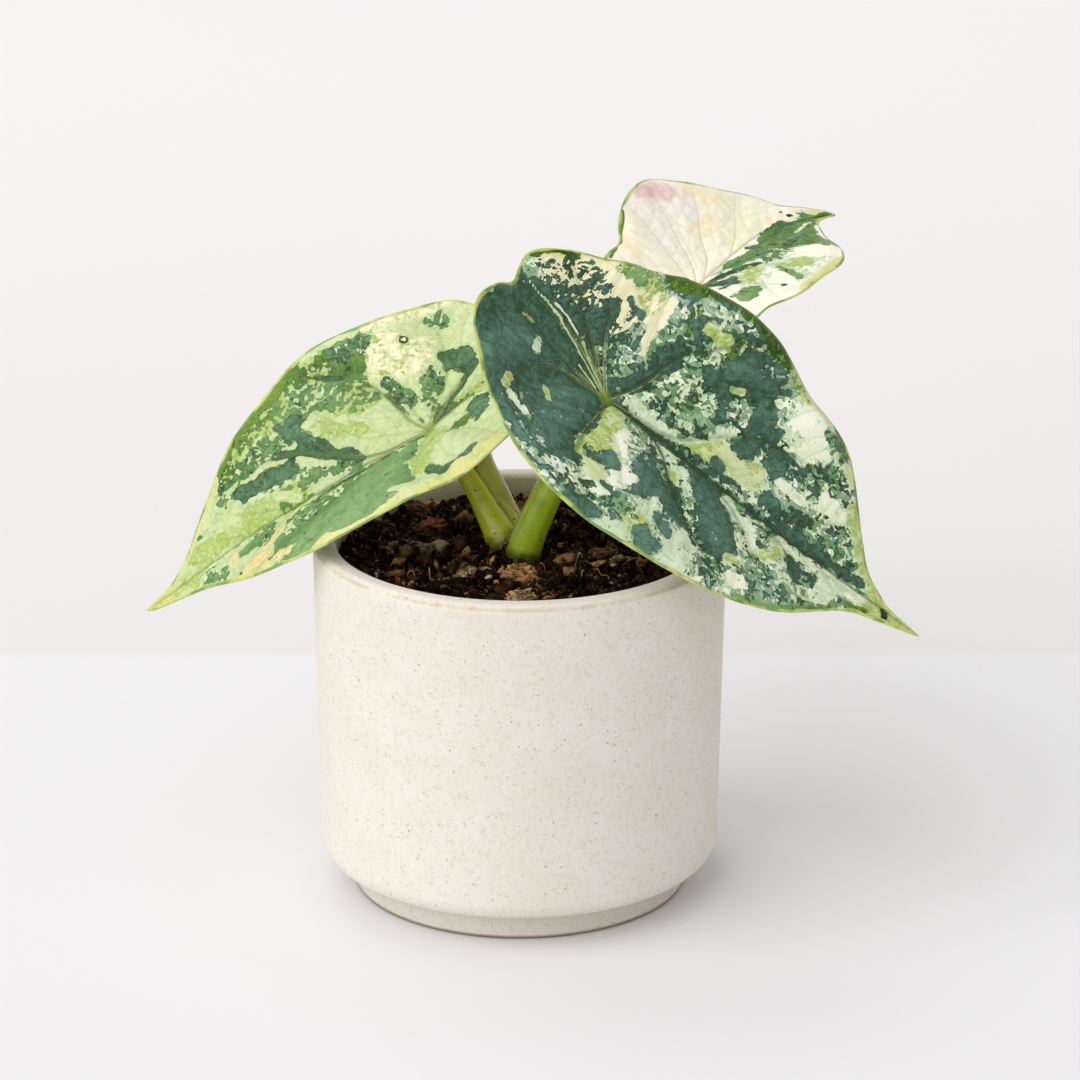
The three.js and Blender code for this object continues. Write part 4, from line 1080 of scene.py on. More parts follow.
def blade_piece(side, settings):
    """One leaf blade: the bent middle surface swells between its veins, is thickened to both sides, has a
    groove along each vein above and a rib below, and closes round a thin rounded margin."""
    leaf, veins, look = LEAVES[side], MAIN_VEINS[side], LOOKS[side]
    columns, rings = settings.columns, settings.rings
    bearing = even_bearings(leaf, columns)
    reach = np.concatenate([[0.006], 1 - (1 - np.arange(1, rings) / (rings - 1)) ** 1.15])
    bearings, reaches = np.meshgrid(bearing, reach)
    middle, along, left = blade_middle(leaf, bearings, reaches)
    flat = np.stack([along.ravel(), left.ravel()], 1)

    starts, ends, widths, tones = vein_segments(veins)
    across, chosen = nearest_line(flat, starts, ends, widths)
    width = widths[chosen]
    side_starts, side_ends = side_vein_segments(leaf, veins)
    side_across, _ = nearest_line(flat, side_starts, side_ends)

    radius = margin_radius(leaf, bearings.ravel())
    slope = np.gradient(margin_radius(leaf, bearing), np.radians(np.unwrap(bearing, period=360)))
    lean = np.tile(slope, rings) / radius
    edge = (radius - np.hypot(*flat.T)) / np.sqrt(1 + lean**2)

    far = smooth_step(0, 5, edge) * smooth_step(0, 9, np.hypot(*flat.T))
    swell = (1 - np.exp(-(across / 4.2) ** 2)) * far
    ripple = (1 - np.exp(-(side_across / 1.7) ** 2)) * far
    quilt = swell * 0.8 + ripple * 0.3 + 0.12 * value_noise(flat, 7, 3)
    quilt *= settings.quilt / MM * look["quilt"]
    line = np.exp(-((across / (width * 0.75)) ** 2)) * smooth_step(0.4, 2.5, edge)
    side_line = np.exp(-((side_across / 0.5) ** 2)) * far
    strength = np.clip(width, 0.4, 1.5)

    def normals(surface):
        outward = np.gradient(surface, axis=0)
        onward = np.roll(surface, -1, 1) - np.roll(surface, 1, 1)
        normal = np.cross(outward, onward)
        return normal / np.linalg.norm(normal, axis=-1, keepdims=True)

    grid = (rings, columns, 1)
    middle = middle + normals(middle) * quilt.reshape(grid)
    normal = normals(middle)
    half = (EDGE_THICKNESS + (BLADE_THICKNESS - EDGE_THICKNESS) * smooth_step(0, 6, edge)) / 2
    groove = settings.groove / MM * line * strength + 0.06 * side_line
    ridge = settings.ridge / MM * line * strength + 0.12 * side_line
    upper = middle + normal * (half - groove).reshape(grid)
    lower = middle - normal * (half + ridge).reshape(grid)
    outward = middle[-1] - middle[-2]
    outward /= np.linalg.norm(outward, axis=-1, keepdims=True)
    rim = middle[-1] + 0.16 * outward

    count = rings * columns
    corners = np.vstack([
        upper.reshape(-1, 3), lower.reshape(-1, 3), rim, upper[0].mean(0)[None], lower[0].mean(0)[None]
    ])
    faces = ring_faces(rings, columns) + ring_faces(rings, columns, count, flip=True)
    column = np.arange(columns)
    beside = (column + 1) % columns
    top, low, edge_ring = (rings - 1) * columns, count + (rings - 1) * columns, 2 * count
    faces += np.stack([top + column, edge_ring + column, edge_ring + beside, top + beside], 1).tolist()
    faces += np.stack([edge_ring + column, low + column, low + beside, edge_ring + beside], 1).tolist()
    faces += fan_faces(2 * count + columns, 0, columns)
    faces += fan_faces(2 * count + columns + 1, count, columns, flip=True)
    placed = corners @ leaf_axes(leaf) + np.array(leaf["seat"])
    piece = build_mesh(f"leaf_{side}", placed, faces)

    last = slice(count - columns, count)

    def both(values):
        """Values of the grid for the upper face, the lower face, the margin and the two middles."""
        return np.concatenate([values, values, values[last], values[:1], values[:1]])

    levels, tissue = paint(flat, PATCHES[side], look["seed"])
    near = np.exp(-((across / 1.6) ** 2)) * np.clip(width / 0.9, 0.35, 1.2) * smooth_step(0.2, 2.0, edge)
    side_near = np.exp(-((side_across / 1.2) ** 2)) * far
    store(piece, "leaf_place", both(np.column_stack([flat, np.zeros(count)])))
    store(piece, "levels", both(levels))
    for layer, values in tissue.items():
        store(piece, f"tissue_{layer}", both(values))
    store(piece, "veins", both(np.column_stack([across, near, tones[chosen]])))
    # How open the leaf is between its veins: where its material paints a sheen, and a shade beside the veins
    open_field = (1 - np.exp(-(across / 6.0) ** 2)) * (1 - 0.4 * np.exp(-(side_across / 1.6) ** 2))
    store(piece, "side_veins", both(np.column_stack([side_across, side_near, open_field])))
    store(piece, "edge", both(edge))
    face = np.concatenate([np.ones(count), -np.ones(count), np.zeros(columns), [1, -1]])
    store(piece, "face", face)
    return piece


def leaf_material(side, settings):
    """Leathery leaf: ragged patches in four layers, veins, a thin margin line, a paler ribbed underside
    and a soft satin surface."""
    look = LOOKS[side]
    material, graph, shader = new_material(f"Leaf {side}", Specular_IOR_Level=0.30)
    place = graph.stored("leaf_place", "Vector")
    pale, light, green, dark = (graph.stored(f"tissue_{layer}", "Color") for layer in LAYERS)
    across, near, tone = graph.axes(graph.stored("veins", "Vector"))
    side_across, side_near, swell = graph.axes(graph.stored("side_veins", "Vector"))

    def line(distance, share, width):
        return graph.group(line_group(), Across=distance, Near=share, Width=width).outputs[0]

    # Washes of one tissue over the next, and painted shade beside the veins and painted sheen on the
    # swellings
    wash = graph.noise(graph.shifted(place, (5, 8, 3)), 0.33, detail=5, roughness=0.62, distortion=1.6)
    sheen = graph.math("MULTIPLY_ADD", swell, 0.7, graph.between(wash, 0.3, 0.7, -0.15, 0.45), clamp=True)
    dark = graph.tinted(dark, graph.mix(sheen, *DARK_VEIN_SHADE_AND_SHEEN))
    green = graph.tinted(green, graph.mix(sheen, *GREEN_VEIN_SHADE_AND_SHEEN))
    # Painted shade of the creases on pale tissue
    crease_shade = settings.back_crease_shade if side == "back" else settings.crease_shade
    washed = graph.mix(look["green"], light, green)
    washed = graph.mix(graph.between(wash, 0.48, 0.62, 0.0, look["wash"]), pale, washed)
    washed = graph.tinted(washed, graph.mix(sheen, crease_shade, PALE_SWELL_SHEEN))
    light = graph.mix(graph.between(wash, 0.42, 0.66, 0.0, 0.55), light, pale)
    light = graph.mix(graph.between(wash, 0.30, 0.46, 0.45, 0.0), light, green)
    patches = graph.group(
        patches_group(), Place=place, Levels=graph.stored("levels", "Vector"), Pale=washed, Light=light,
        Green=green, Dark=dark, Raggedness=look["ragged"],
    )
    painted, dark_share = patches.outputs["Color"], patches.outputs["Dark Share"]

    # Fine hairlines of shade, and pale specks in the dark tissue
    hair = graph.noise(graph.shifted(place, (9, 2, 6)), 1.6, detail=4, roughness=0.7, distortion=2.0)
    shade = graph.between(hair, 0.3, 0.7, 0.88, 1.10, smooth=False)
    shade = graph.add("CombineColor", None, _0=shade, _1=shade, _2=shade).outputs[0]
    painted = graph.tinted(painted, shade)
    away, chance, _ = graph.dots(place, 0.55)
    radius = graph.between(chance, 0.72, 1.0, -0.05, 0.17, smooth=False)
    speck = graph.between(graph.math("SUBTRACT", radius, away), -0.02, 0.03)
    painted = graph.mix(graph.product(speck, dark_share, 0.8), painted, PALE_SPECK)

    # Side veins, a dark band along each main vein, and pale streaks in it and beside it
    side_line = line(side_across, side_near, 0.24)
    side_tone = graph.mix(dark_share, settings.side_vein, settings.dark_vein)
    painted = graph.mix(graph.product(side_line, settings.side_veins * look["side"]), painted, side_tone)
    band = graph.product(line(across, near, look["band"]), graph.math("MULTIPLY_ADD", tone, 0.85, 0.1))
    painted = graph.mix(band, painted, settings.left_vein if side == "left" else settings.dark_vein)
    middle = line(across, near, 0.22)
    beside = line(graph.math("ADD", across, 0.72), near, 0.17)
    broken = graph.between(graph.noise(graph.shifted(place, (4, 4, 4)), 0.55), 0.36, 0.60)
    streaks = graph.math("MAXIMUM", graph.product(middle, graph.math("SUBTRACT", 1.0, tone)),
                         graph.product(beside, broken))
    from_seat = graph.length(place)
    streaks = graph.product(streaks, graph.between(from_seat, 5.0, 32.0, 0.9, 0.10))
    painted = graph.mix(streaks, painted, settings.back_vein if side == "back" else settings.pale_vein)
    painted = graph.mix(graph.between(from_seat, 0.6, 3.5, 0.8, 0.0), painted, settings.heart)

    # The line along the margin, of changing width and colour
    edge_width = graph.between(graph.noise(place, 0.09), 0.35, 0.65, 0.45, 1.35)
    rim = graph.math("DIVIDE", graph.stored("edge"), edge_width)
    greened = graph.between(graph.noise(graph.shifted(place, (6, 1, 2)), 0.14), 0.42, 0.6)
    painted = graph.mix(graph.between(rim, 0.45, 1.05, 0.9, 0.0), painted,
                        graph.mix(greened, settings.margin, settings.margin_green))

    # The underside: paler, with pale ribs
    below = graph.between(graph.stored("face"), -0.5, 0.5, 1.0, 0.0)
    rib = graph.math("MAXIMUM", graph.product(middle, 0.75), graph.product(side_line, 0.4))
    paler = graph.mix(rib, graph.mix(0.45, painted, settings.underside), settings.pale_vein)
    painted = graph.mix(below, painted, paler)

    skin = graph.group(grain_group(), Place=place, Coarse_Scale=1.1, Fine_Scale=5.0)
    gloss = graph.between(skin.outputs["Tone"], 0.0, 1.0, 0.38, 0.50)
    net = graph.add("TexVoronoi", {"feature": "DISTANCE_TO_EDGE"}, Vector=place, Scale=0.42)
    net_line = graph.between(net.outputs["Distance"], 0.0, 0.12, 1.0, 0.0)
    relief = graph.math("MULTIPLY_ADD", skin.outputs["Height"], 0.3, graph.product(net_line, -0.05))
    relief = graph.math("SUBTRACT", relief, graph.product(middle, 0.5))
    graph.finish(shader, painted, graph.math("MULTIPLY_ADD", below, 0.16, gloss), relief, 0.5, 0.22 * MM)
    return material


# Pot


def pot_profile(settings):
    """The pot's section as (radius, height) in millimetres: foot, rounded bottom edge, straight wall,
    rounded lip and inside, with arcs for the roundings."""
    height, wall = settings.height / MM, settings.wall / MM
    rim, body, foot = settings.rim_radius / MM, settings.body_radius / MM, settings.foot_radius / MM
    step = settings.foot_height / MM
    inner, low_inner, floor, inside_round = rim - wall, body - wall, 9.5, 6
    lip, inner_lip, bottom = 2.6, 1.8, (4, 5.5)
    return np.vstack([
        [[0, 1.6]],
        straight((2, 1.6), (foot - 6.5, 1.6), 14),
        round_arc((foot - 5.6, 0.9), (0.9, 0.7), 90, 0, 4),
        round_arc((foot - 4.0, 0.5), (0.7, 0.5), 180, 270, 4),
        round_arc((foot - 0.8, 0.8), (0.8, 0.8), -90, 0, 5),
        straight((foot, 0.8), (foot, step - 0.8), 5),
        round_arc((foot + 0.8, step - 0.8), (0.8, 0.8), 180, 90, 4),
        round_arc((body - bottom[0], step + bottom[1]), bottom, -90, 0, 16),
        straight((body, step + bottom[1]), (rim, height - lip), 70),
        round_arc((rim - lip, height - lip), (lip, lip), 0, 90, 12),
        round_arc((inner + inner_lip, height - inner_lip), (inner_lip, inner_lip), 90, 180, 9),
        straight((inner, height - inner_lip), (low_inner, floor + inside_round), 30),
        round_arc((low_inner - inside_round, floor + inside_round), (inside_round,) * 2, 0, -90, 8),
        [[0, floor]],
    ])


def pot_material(settings):
    """Matt cream glaze with curled tan fibres, chalky clouds and iron specks. It breaks to bare clay on the
    rim's two edges, is thin and darker above the foot, partly a painted shade under the body's edge, and is
    missing on the foot's lowest edge, whose dark line is partly a painted contact shadow."""
    material, graph, shader = new_material("Speckled stoneware", Specular_IOR_Level=0.32)
    place = graph.place()
    up = graph.axes(place)[2]
    painted = graph.mix(graph.between(graph.noise(place, 60, detail=4), 0.3, 0.7, 0.0, 0.12),
                        settings.glaze, settings.fibre)
    curls = graph.noise(place, 700, detail=1.5, roughness=0.6, distortion=1.5)
    curls = graph.between(graph.apart(curls, 0.5), 0.004, 0.045, 1.0, 0.0)
    threads = graph.between(graph.noise(graph.shifted(place, (8, 4, 6)), 620), 0.44, 0.60)
    painted = graph.mix(graph.product(curls, threads, 0.62), painted, settings.fibre)
    chalk = graph.noise(graph.shifted(place, (3, 1, 2)), 900, detail=2)
    painted = graph.mix(graph.between(chalk, 0.58, 0.75, 0.0, 0.4), painted, settings.chalk)
    away, chance, strength = graph.dots(place, 920)
    size = graph.between(chance, 0.62, 1.0, 0.0, 0.27, smooth=False)
    specks = graph.between(graph.math("SUBTRACT", size, away), -0.01, 0.05)
    painted = graph.mix(graph.product(specks, graph.between(strength, 0.0, 1.0, 0.25, 0.9)), painted,
                        settings.speck)

    # Bare clay where the rim turns, outside and inside
    out = graph.length(graph.stretched(place, (1.0, 1.0, 0.0)))
    drips = graph.noise(graph.stretched(place, (1.0, 1.0, 0.4)), 90, detail=6, roughness=0.75)
    corner = graph.between(graph.apart(up, settings.height - 1.3 * MM), 0.1 * MM, 0.9 * MM, 1, 0)
    outer = graph.between(out, settings.rim_radius - 2.4 * MM, settings.rim_radius - 1.2 * MM)
    outer = graph.product(corner, outer, graph.between(drips, 0.34, 0.60))
    inner = graph.apart(out, settings.rim_radius - settings.wall + 1.0 * MM)
    inner = graph.product(graph.between(inner, 0.0, 1.0 * MM, 1, 0), corner, graph.between(drips, 0.45, 0.7))
    painted = graph.mix(graph.product(graph.math("MAXIMUM", outer, inner), 0.55), painted, settings.bare)

    # Painted shade in part: the glaze thins and darkens in the recess above the foot, and the foot's lowest
    # edge gets a dark clay line that is partly a painted contact shadow
    thin = graph.between(up, settings.foot_height - 0.5 * MM, settings.foot_height + 1.5 * MM, 0.22, 0.0)
    painted = graph.mix(thin, painted, settings.thin)
    painted = graph.mix(graph.between(up, 0.5 * MM, 1.5 * MM, 0.85, 0.0), painted, settings.foot)
    grain = graph.group(grain_group(), Place=place, Coarse_Scale=420.0, Fine_Scale=1500.0)
    rough = graph.between(grain.outputs["Tone"], 0.0, 1.0, 0.46, 0.66)
    height = graph.math("SUBTRACT", grain.outputs["Height"], graph.product(specks, 0.6))
    graph.finish(shader, painted, rough, height, 0.35, 0.12 * MM)
    return material


# Soil


def cad_soil_top(places):
    """Height of the CAD soil's top in millimetres: broad and small waves over a slight dome."""
    x, y = places[:, 0], places[:, 1]
    out = np.hypot(x, y) / 53.5
    broad = np.sin(x * 0.21 + 1.3) * np.cos(y * 0.19 - 0.4) + 0.5 * np.sin((x + y) * 0.13)
    small = np.sin(x * 0.53 - y * 0.31) * np.cos(y * 0.61 + x * 0.17 + 0.8)
    return 100.7 - 0.9 * out * out + 1.3 * 0.7 * broad + 0.55 * small


def soil_top(places, relief):
    """The CAD top plus crumbly relief: layered noise whose hollows are sharpened by taking its size."""
    ridged = np.abs(layered_noise(places, 4.4, 71, 4, 0.55))
    fine = layered_noise(places, 1.3, 81, 2, 0.6)
    return cad_soil_top(places) + relief * (1.7 * ridged - 0.75 + 0.30 * fine)


def soil_colours(count, settings, seed):
    """A colour for each crumb: mostly brown, some tan bark, a few pale grains."""
    random = rng(seed)
    kinds = np.array([settings.dark, settings.brown, settings.tan, settings.grit])
    kind = random.choice(4, count, p=[0.58, 0.24, 0.16, 0.02])
    return kinds[kind] * random.uniform(0.4, 1.6, (count, 1))


def soil_material(settings, name, muck_and_shade, own=None):
    """Crumbly bark mix: its own colour, or else the one kept in the mesh, mottled by noise, flecked with tan
    and darkened in noisy patches, a painted shade of hollows, all by the given share of muck and shade, with
    a rough granular surface."""
    material, graph, shader = new_material(name, Specular_IOR_Level=0.04)
    place = graph.place()
    own = graph.stored("tint", "Color") if own is None else own
    mottle = graph.noise(place, 420, detail=5, roughness=0.7)
    painted = graph.mix(graph.between(mottle, 0.44, 0.68, 0.0, 0.6 * muck_and_shade), own, settings.brown)
    flakes = graph.noise(graph.shifted(place, (2, 5, 1)), 760, detail=5, roughness=0.7, distortion=1.2)
    painted = graph.mix(graph.between(flakes, 0.57, 0.64, 0.0, 0.25 + 0.65 * muck_and_shade), painted, settings.tan)
    # Dark noisy patches: a painted shade of hollows in the crumbly surface
    hollow = graph.noise(graph.shifted(place, (7, 2, 4)), 480, detail=4)
    painted = graph.mix(graph.between(hollow, 0.40, 0.54, 0.35 + 0.6 * muck_and_shade, 0.0), painted, settings.dark)
    grain = graph.group(grain_group(), Place=place, Coarse_Scale=600.0, Fine_Scale=2200.0)
    rough = graph.between(grain.outputs["Tone"], 0.0, 1.0, 0.55, 0.9)
    graph.finish(shader, painted, rough, grain.outputs["Height"], 1.0, 1.0 * MM)
    return material


def soil_bed(settings):
    """The filling: rings of the crumbly top, then rings down the side, closed by a middle at each end. The
    relief's hollows are painted darker than its browner tops, a painted shade."""
    relief, columns, rings = settings.relief / MM, 420, 86
    angle = full_turn(columns)
    radius = np.linspace(0.4, SOIL_RADIUS, rings)
    flat = np.stack([radius[:, None] * np.cos(angle), radius[:, None] * np.sin(angle)], -1).reshape(-1, 2)
    top = np.column_stack([flat, soil_top(flat, relief)])
    circle = SOIL_RADIUS * np.column_stack([np.cos(angle), np.sin(angle)])
    upper, lower = SOIL_SHARES
    side = [np.column_stack([circle * (lower if z < SOIL_NARROW else upper), np.full(columns, z)])
            for z in SOIL_SIDE]
    corners = np.vstack([top, *side, [[0, 0, top[:columns, 2].mean()], [0, 0, SOIL_UNDERSIDE]]])
    piece = build_mesh("soil_bed", corners, closed_faces(rings + len(side), columns))
    # Painted shade: the relief's hollows are darker and its tops browner
    shade = 0.05 + 0.75 * smooth_step(-0.6, 2.2, top[:, 2:] - cad_soil_top(flat)[:, None])
    tint = np.tile(np.array(settings.brown), (len(corners), 1))
    tint[:len(top)] = np.array(settings.dark) * (1 - shade) + np.array(settings.brown) * shade
    store(piece, "tint", tint)
    return piece


def soil_crumbs(settings):
    """Loose crumbs of five sizes, strewn evenly over the top and sunk into it or lying on it at random."""
    random, count = rng(91), settings.crumbs
    sizes = random.choice(CRUMB_SIZES[0], count, p=CRUMB_SIZES[1])
    sizes = sizes * random.uniform(0.75, 1.3, count)
    out = (SOIL_RADIUS - 1.2 - sizes) * np.sqrt(random.uniform(0, 1, count))
    turn = random.uniform(0, 2 * np.pi, count)
    spots = np.stack([out * np.cos(turn), out * np.sin(turn)], 1)
    lift = soil_top(spots, settings.relief / MM) + sizes * random.uniform(-0.15, 0.4, count)
    corners, faces, lump = scattered_lumps(np.column_stack([spots, lift]), sizes, 93)
    piece = build_mesh("soil_crumbs", corners, faces)
    store(piece, "tint", soil_colours(count, settings, 95)[lump])
    return piece


def root_fibre(random, settings, offset):
    """One root fibre: a thin tube along a shallow arc, whose middle is bent aside and lifted by parabolas."""
    out, turn, way = 47 * random.uniform() ** 0.5, *random.uniform(0, 2 * np.pi, 2)
    reach, bend = random.uniform(2.5, 7), random.uniform(-1.2, 1.2)
    t = np.linspace(-0.5, 0.5, 5)
    aside = bend * (2 * t) ** 2
    flat = np.stack([out * np.cos(turn) + reach * t * np.cos(way) - aside * np.sin(way),
                     out * np.sin(turn) + reach * t * np.sin(way) + aside * np.cos(way)], 1)
    rise = 0.5 + random.uniform(0, 1.6) * (1 - (2 * t) ** 2)
    line = through(np.column_stack([flat, soil_top(flat, settings.relief / MM) + rise]), 0.4)
    thick = random.uniform(0.10, 0.26) * (1 - 0.5 * np.linspace(-1, 1, len(line)) ** 2)
    corners, faces = tube_surface(line, thick[:, None], 6, offset=offset)
    return corners, faces, np.array(settings.tan) * random.uniform(0.35, 1.5)


def chip_surface(ball, number, place, size, degrees):
    """Corners of one chip and the brightness of each: a ball made blocky by a power of its coordinates,
    pushed in and out by noise and by wrinkled folds, which are noise without its sign, then scaled, turned
    and set in the soil's top. The brightness is painted light and shade: the folds are brighter than the
    hollows between them."""
    seed = 200 + 7 * number
    blocky = np.sign(ball) * np.abs(ball) ** 0.72
    folds = np.abs(value_noise(blocky * (1, 1, 2) + 5, 0.34, seed + 1))
    folds = folds + 0.5 * np.abs(value_noise(blocky + 9, 0.15, seed + 2))
    rough = 0.80 + 0.15 * value_noise(blocky + 5, 0.55, seed) + 0.24 * np.minimum(folds, 1)
    shape = blocky * rough[:, None] * np.array(size)
    turn = np.radians(degrees)
    x = shape[:, 0] * np.cos(turn) - shape[:, 1] * np.sin(turn) + place[0]
    y = shape[:, 0] * np.sin(turn) + shape[:, 1] * np.cos(turn) + place[1]
    base = cad_soil_top(np.array([place], float))[0] + size[2] * 0.12
    return np.column_stack([x, y, shape[:, 2] + base]), 0.12 + 1.7 * smooth_step(0.05, 0.75, folds)


def scattered_lumps(places, sizes, seed, flatness=0.7):
    """Corners, faces and lump numbers for many rough lumps: an icosahedron whose corners are pushed in and
    out at random, stretched, turned freely and set at each place."""
    golden = (1 + 5**0.5) / 2
    quarter = np.array([(-1, golden, 0), (1, golden, 0), (-1, -golden, 0), (1, -golden, 0)])
    base = np.vstack([np.roll(quarter, shift, 1) for shift in range(3)]) / np.sqrt(1 + golden**2)
    triangles = np.array([(0, 11, 5), (0, 5, 1), (0, 1, 7), (0, 7, 10), (0, 10, 11), (1, 5, 9), (5, 11, 4),
                          (11, 10, 2), (10, 7, 6), (7, 1, 8), (3, 9, 4), (3, 4, 2), (3, 2, 6), (3, 6, 8),
                          (3, 8, 9), (4, 9, 5), (2, 4, 11), (6, 2, 10), (8, 6, 7), (9, 8, 1)])
    random = rng(seed)
    count = len(places)
    shape = base[None] * random.uniform(0.62, 1.2, (count, 12, 1))
    stretch = np.stack([random.uniform(0.8, 1.6, count), random.uniform(0.6, 1.0, count),
                        random.uniform(0.5, 1.0, count) * flatness], 1)
    shape = shape * (stretch * sizes[:, None])[:, None]
    quaternion = random.normal(size=(count, 4)) * np.array([1.6, 0.5, 0.5, 1.6])
    w, x, y, z = (quaternion / np.linalg.norm(quaternion, axis=1, keepdims=True)).T
    turn = np.array([[1 - 2 * (y * y + z * z), 2 * (x * y - w * z), 2 * (x * z + w * y)],
                     [2 * (x * y + w * z), 1 - 2 * (x * x + z * z), 2 * (y * z - w * x)],
                     [2 * (x * z - w * y), 2 * (y * z + w * x), 1 - 2 * (x * x + y * y)]])
    corners = np.einsum("ijn,nkj->nki", turn, shape) + places[:, None]
    faces = (triangles[None] + 12 * np.arange(count)[:, None, None]).reshape(-1, 3)
    return corners.reshape(-1, 3), faces.tolist(), np.repeat(np.arange(count), 12)


# Stalks


def tube_surface(line, radii, columns, squash=1.0, offset=0):
    """Corners and faces of a closed tube along a line: each ring is the line's place plus the radius times
    cos and sin of the angle in two directions across it, the second scaled by squash. These directions are
    carried along without twisting. Offset is the number of corners before the tube's own."""
    tangent = np.gradient(line, axis=0)
    tangent /= np.linalg.norm(tangent, axis=1, keepdims=True)
    first = np.empty_like(line)
    side = np.cross(tangent[0], [0.3, 1, 0.2])
    for i, direction in enumerate(tangent):
        side = side - (side @ direction) * direction
        side = side / np.linalg.norm(side)
        first[i] = side
    second = np.cross(tangent, first)
    angle = full_turn(columns)
    corners = (line[:, None] + radii[..., None] * np.cos(angle)[None, :, None] * first[:, None]
               + (radii * squash)[..., None] * np.sin(angle)[None, :, None] * second[:, None])
    corners = np.vstack([corners.reshape(-1, 3), line[:1], line[-1:]])
    return corners, closed_faces(len(line), columns, offset, flip=True)


def stalk_line(side):
    """The stalk's middle line from the crown to just under the blade's seat."""
    leaf = LEAVES[side]
    end = np.array(leaf["seat"]) - leaf_axes(leaf)[2] * (BLADE_THICKNESS / 2 + STALK_TOP_GAP / 6)
    return through([*STALKS[side]["via"], tuple(end)], STALK_SPACING)


def stalk_piece(side):
    """One leaf stalk: a tube whose radius runs evenly between the given ones, times faint lengthwise ribs
    and slight swellings, widened at the foot and drawn in to a rounded end under the blade. The back one
    has a sheath, a flattened tube, at its side."""
    line = stalk_line(side)
    t = np.linspace(0, 1, len(line))
    radius = np.interp(t, np.linspace(0, 1, len(STALKS[side]["radii"])), STALKS[side]["radii"])
    run = t * (len(line) - 1) * STALK_SPACING
    rounded = np.sqrt(np.clip((run[-1] - run) / STALK_END, 0.03, 1)) ** 0.8
    radius = radius * rounded * (1 + 0.2 * np.exp(-((run / 13) ** 2)))
    angle = full_turn(STALK_COLUMNS)
    ribs = 1 + 0.012 * np.sin(9 * angle)[None] + 0.02 * np.sin(2 * angle + 0.6)[None]
    lumps = 1 + 0.015 * np.sin(run / 3.1)[:, None]
    corners, faces = tube_surface(line, radius[:, None] * ribs * lumps, STALK_COLUMNS)
    rise = np.append(np.repeat(run, STALK_COLUMNS), [run[0], run[-1]])
    if side == "back":
        wing = through(SHEATH, 0.6)
        reach = np.interp(np.linspace(0, 1, len(wing)), *SHEATH_RADII)
        more, sides = tube_surface(wing, reach[:, None], 28, squash=0.62, offset=len(corners))
        faces += sides
        corners = np.vstack([corners, more])
        rise = np.append(rise, more[:, 2] - STALK_FOOT)
    piece = build_mesh(f"stalk_{side}", corners, faces)
    store(piece, "stalk_place", np.column_stack([rise, rise * 0, rise * 0]))
    return piece


def stalk_material(side, tint, settings):
    """Smooth living stalk: its green fades to a pale sheath at the foot, with faint lengthwise streaks,
    darker clouds and brown freckles, and dark where it leaves the ground, partly soil and partly a painted
    shade, under a soft gloss."""
    stalk = STALKS[side]
    material, graph, shader = new_material(
        f"Stalk {side}", Specular_IOR_Level=0.5, Coat_Roughness=0.12, Coat_Weight=stalk["coat"])
    along = graph.axes(graph.stored("stalk_place", "Vector"))[0]
    place = graph.place()
    painted = graph.mix(graph.between(along, 9.0, 22.0, stalk["paled"], 0.0), tint, settings.base)
    streak = graph.noise(graph.stretched(place, (1.0, 1.0, 0.12)), 900)
    painted = graph.mix(graph.between(streak, 0.38, 0.7, 0.0, 0.28), painted, settings.streak)
    painted = graph.mix(graph.between(graph.noise(place, 160), 0.48, 0.7, 0.0, 0.35), painted, settings.cloud)
    spots = graph.noise(graph.shifted(place, (1, 1, 4)), 420, detail=2, roughness=0.4)
    painted = graph.mix(graph.between(spots, 0.66, 0.72, 0.0, stalk["freckled"]), painted, settings.freckle)
    # Dark where the stalk leaves the soil: partly clinging soil, partly a painted shade at the base
    soil_line = graph.math("SUBTRACT", graph.product(graph.noise(place, 380), 7.0), 2.5)
    soil_and_base_shade = graph.between(graph.math("SUBTRACT", along, soil_line), 7.6, 13.0, 0.85, 0.0)
    painted = graph.mix(soil_and_base_shade, painted, settings.soil_and_base_shade)
    skin = graph.group(grain_group(), Place=place, Coarse_Scale=500.0, Fine_Scale=2500.0)
    gloss = graph.between(skin.outputs["Tone"], 0.0, 1.0, 0.26, 0.36)
    graph.finish(shader, painted, gloss, skin.outputs["Height"], 0.25, 0.1 * MM)
    return material


# Operators


class PLANT_OT_pot(bpy.types.Operator):
    """Turns the stoneware pot and gives it its speckled glaze. The wall is drawn in by up to the wobble, in
    two and three waves round the pot that turn with its height; only the middle stays round."""

    bl_idname = "plant.pot"
    bl_label = "Pot"

    def execute(self, context):
        settings = context.scene.plant_pot
        corners, faces = turned_surface(pot_profile(settings), POT_COLUMNS)
        angle = np.arctan2(corners[:, 1], corners[:, 0])
        height = corners[:, 2]
        throwing = np.sin(2 * angle + height / 40) + 0.6 * np.sin(3 * angle - height / 25)
        on_wall = smooth_step(20, 50, np.hypot(corners[:, 0], corners[:, 1]))
        grow = 1 - settings.wobble / MM * (1 - 0.5 * throwing) / 60 * on_wall
        corners[:, :2] *= grow[:, None]
        piece = build_mesh("pot_stoneware", corners, faces)
        piece.data.materials.append(pot_material(settings))
        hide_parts("pot")
        return {"FINISHED"}


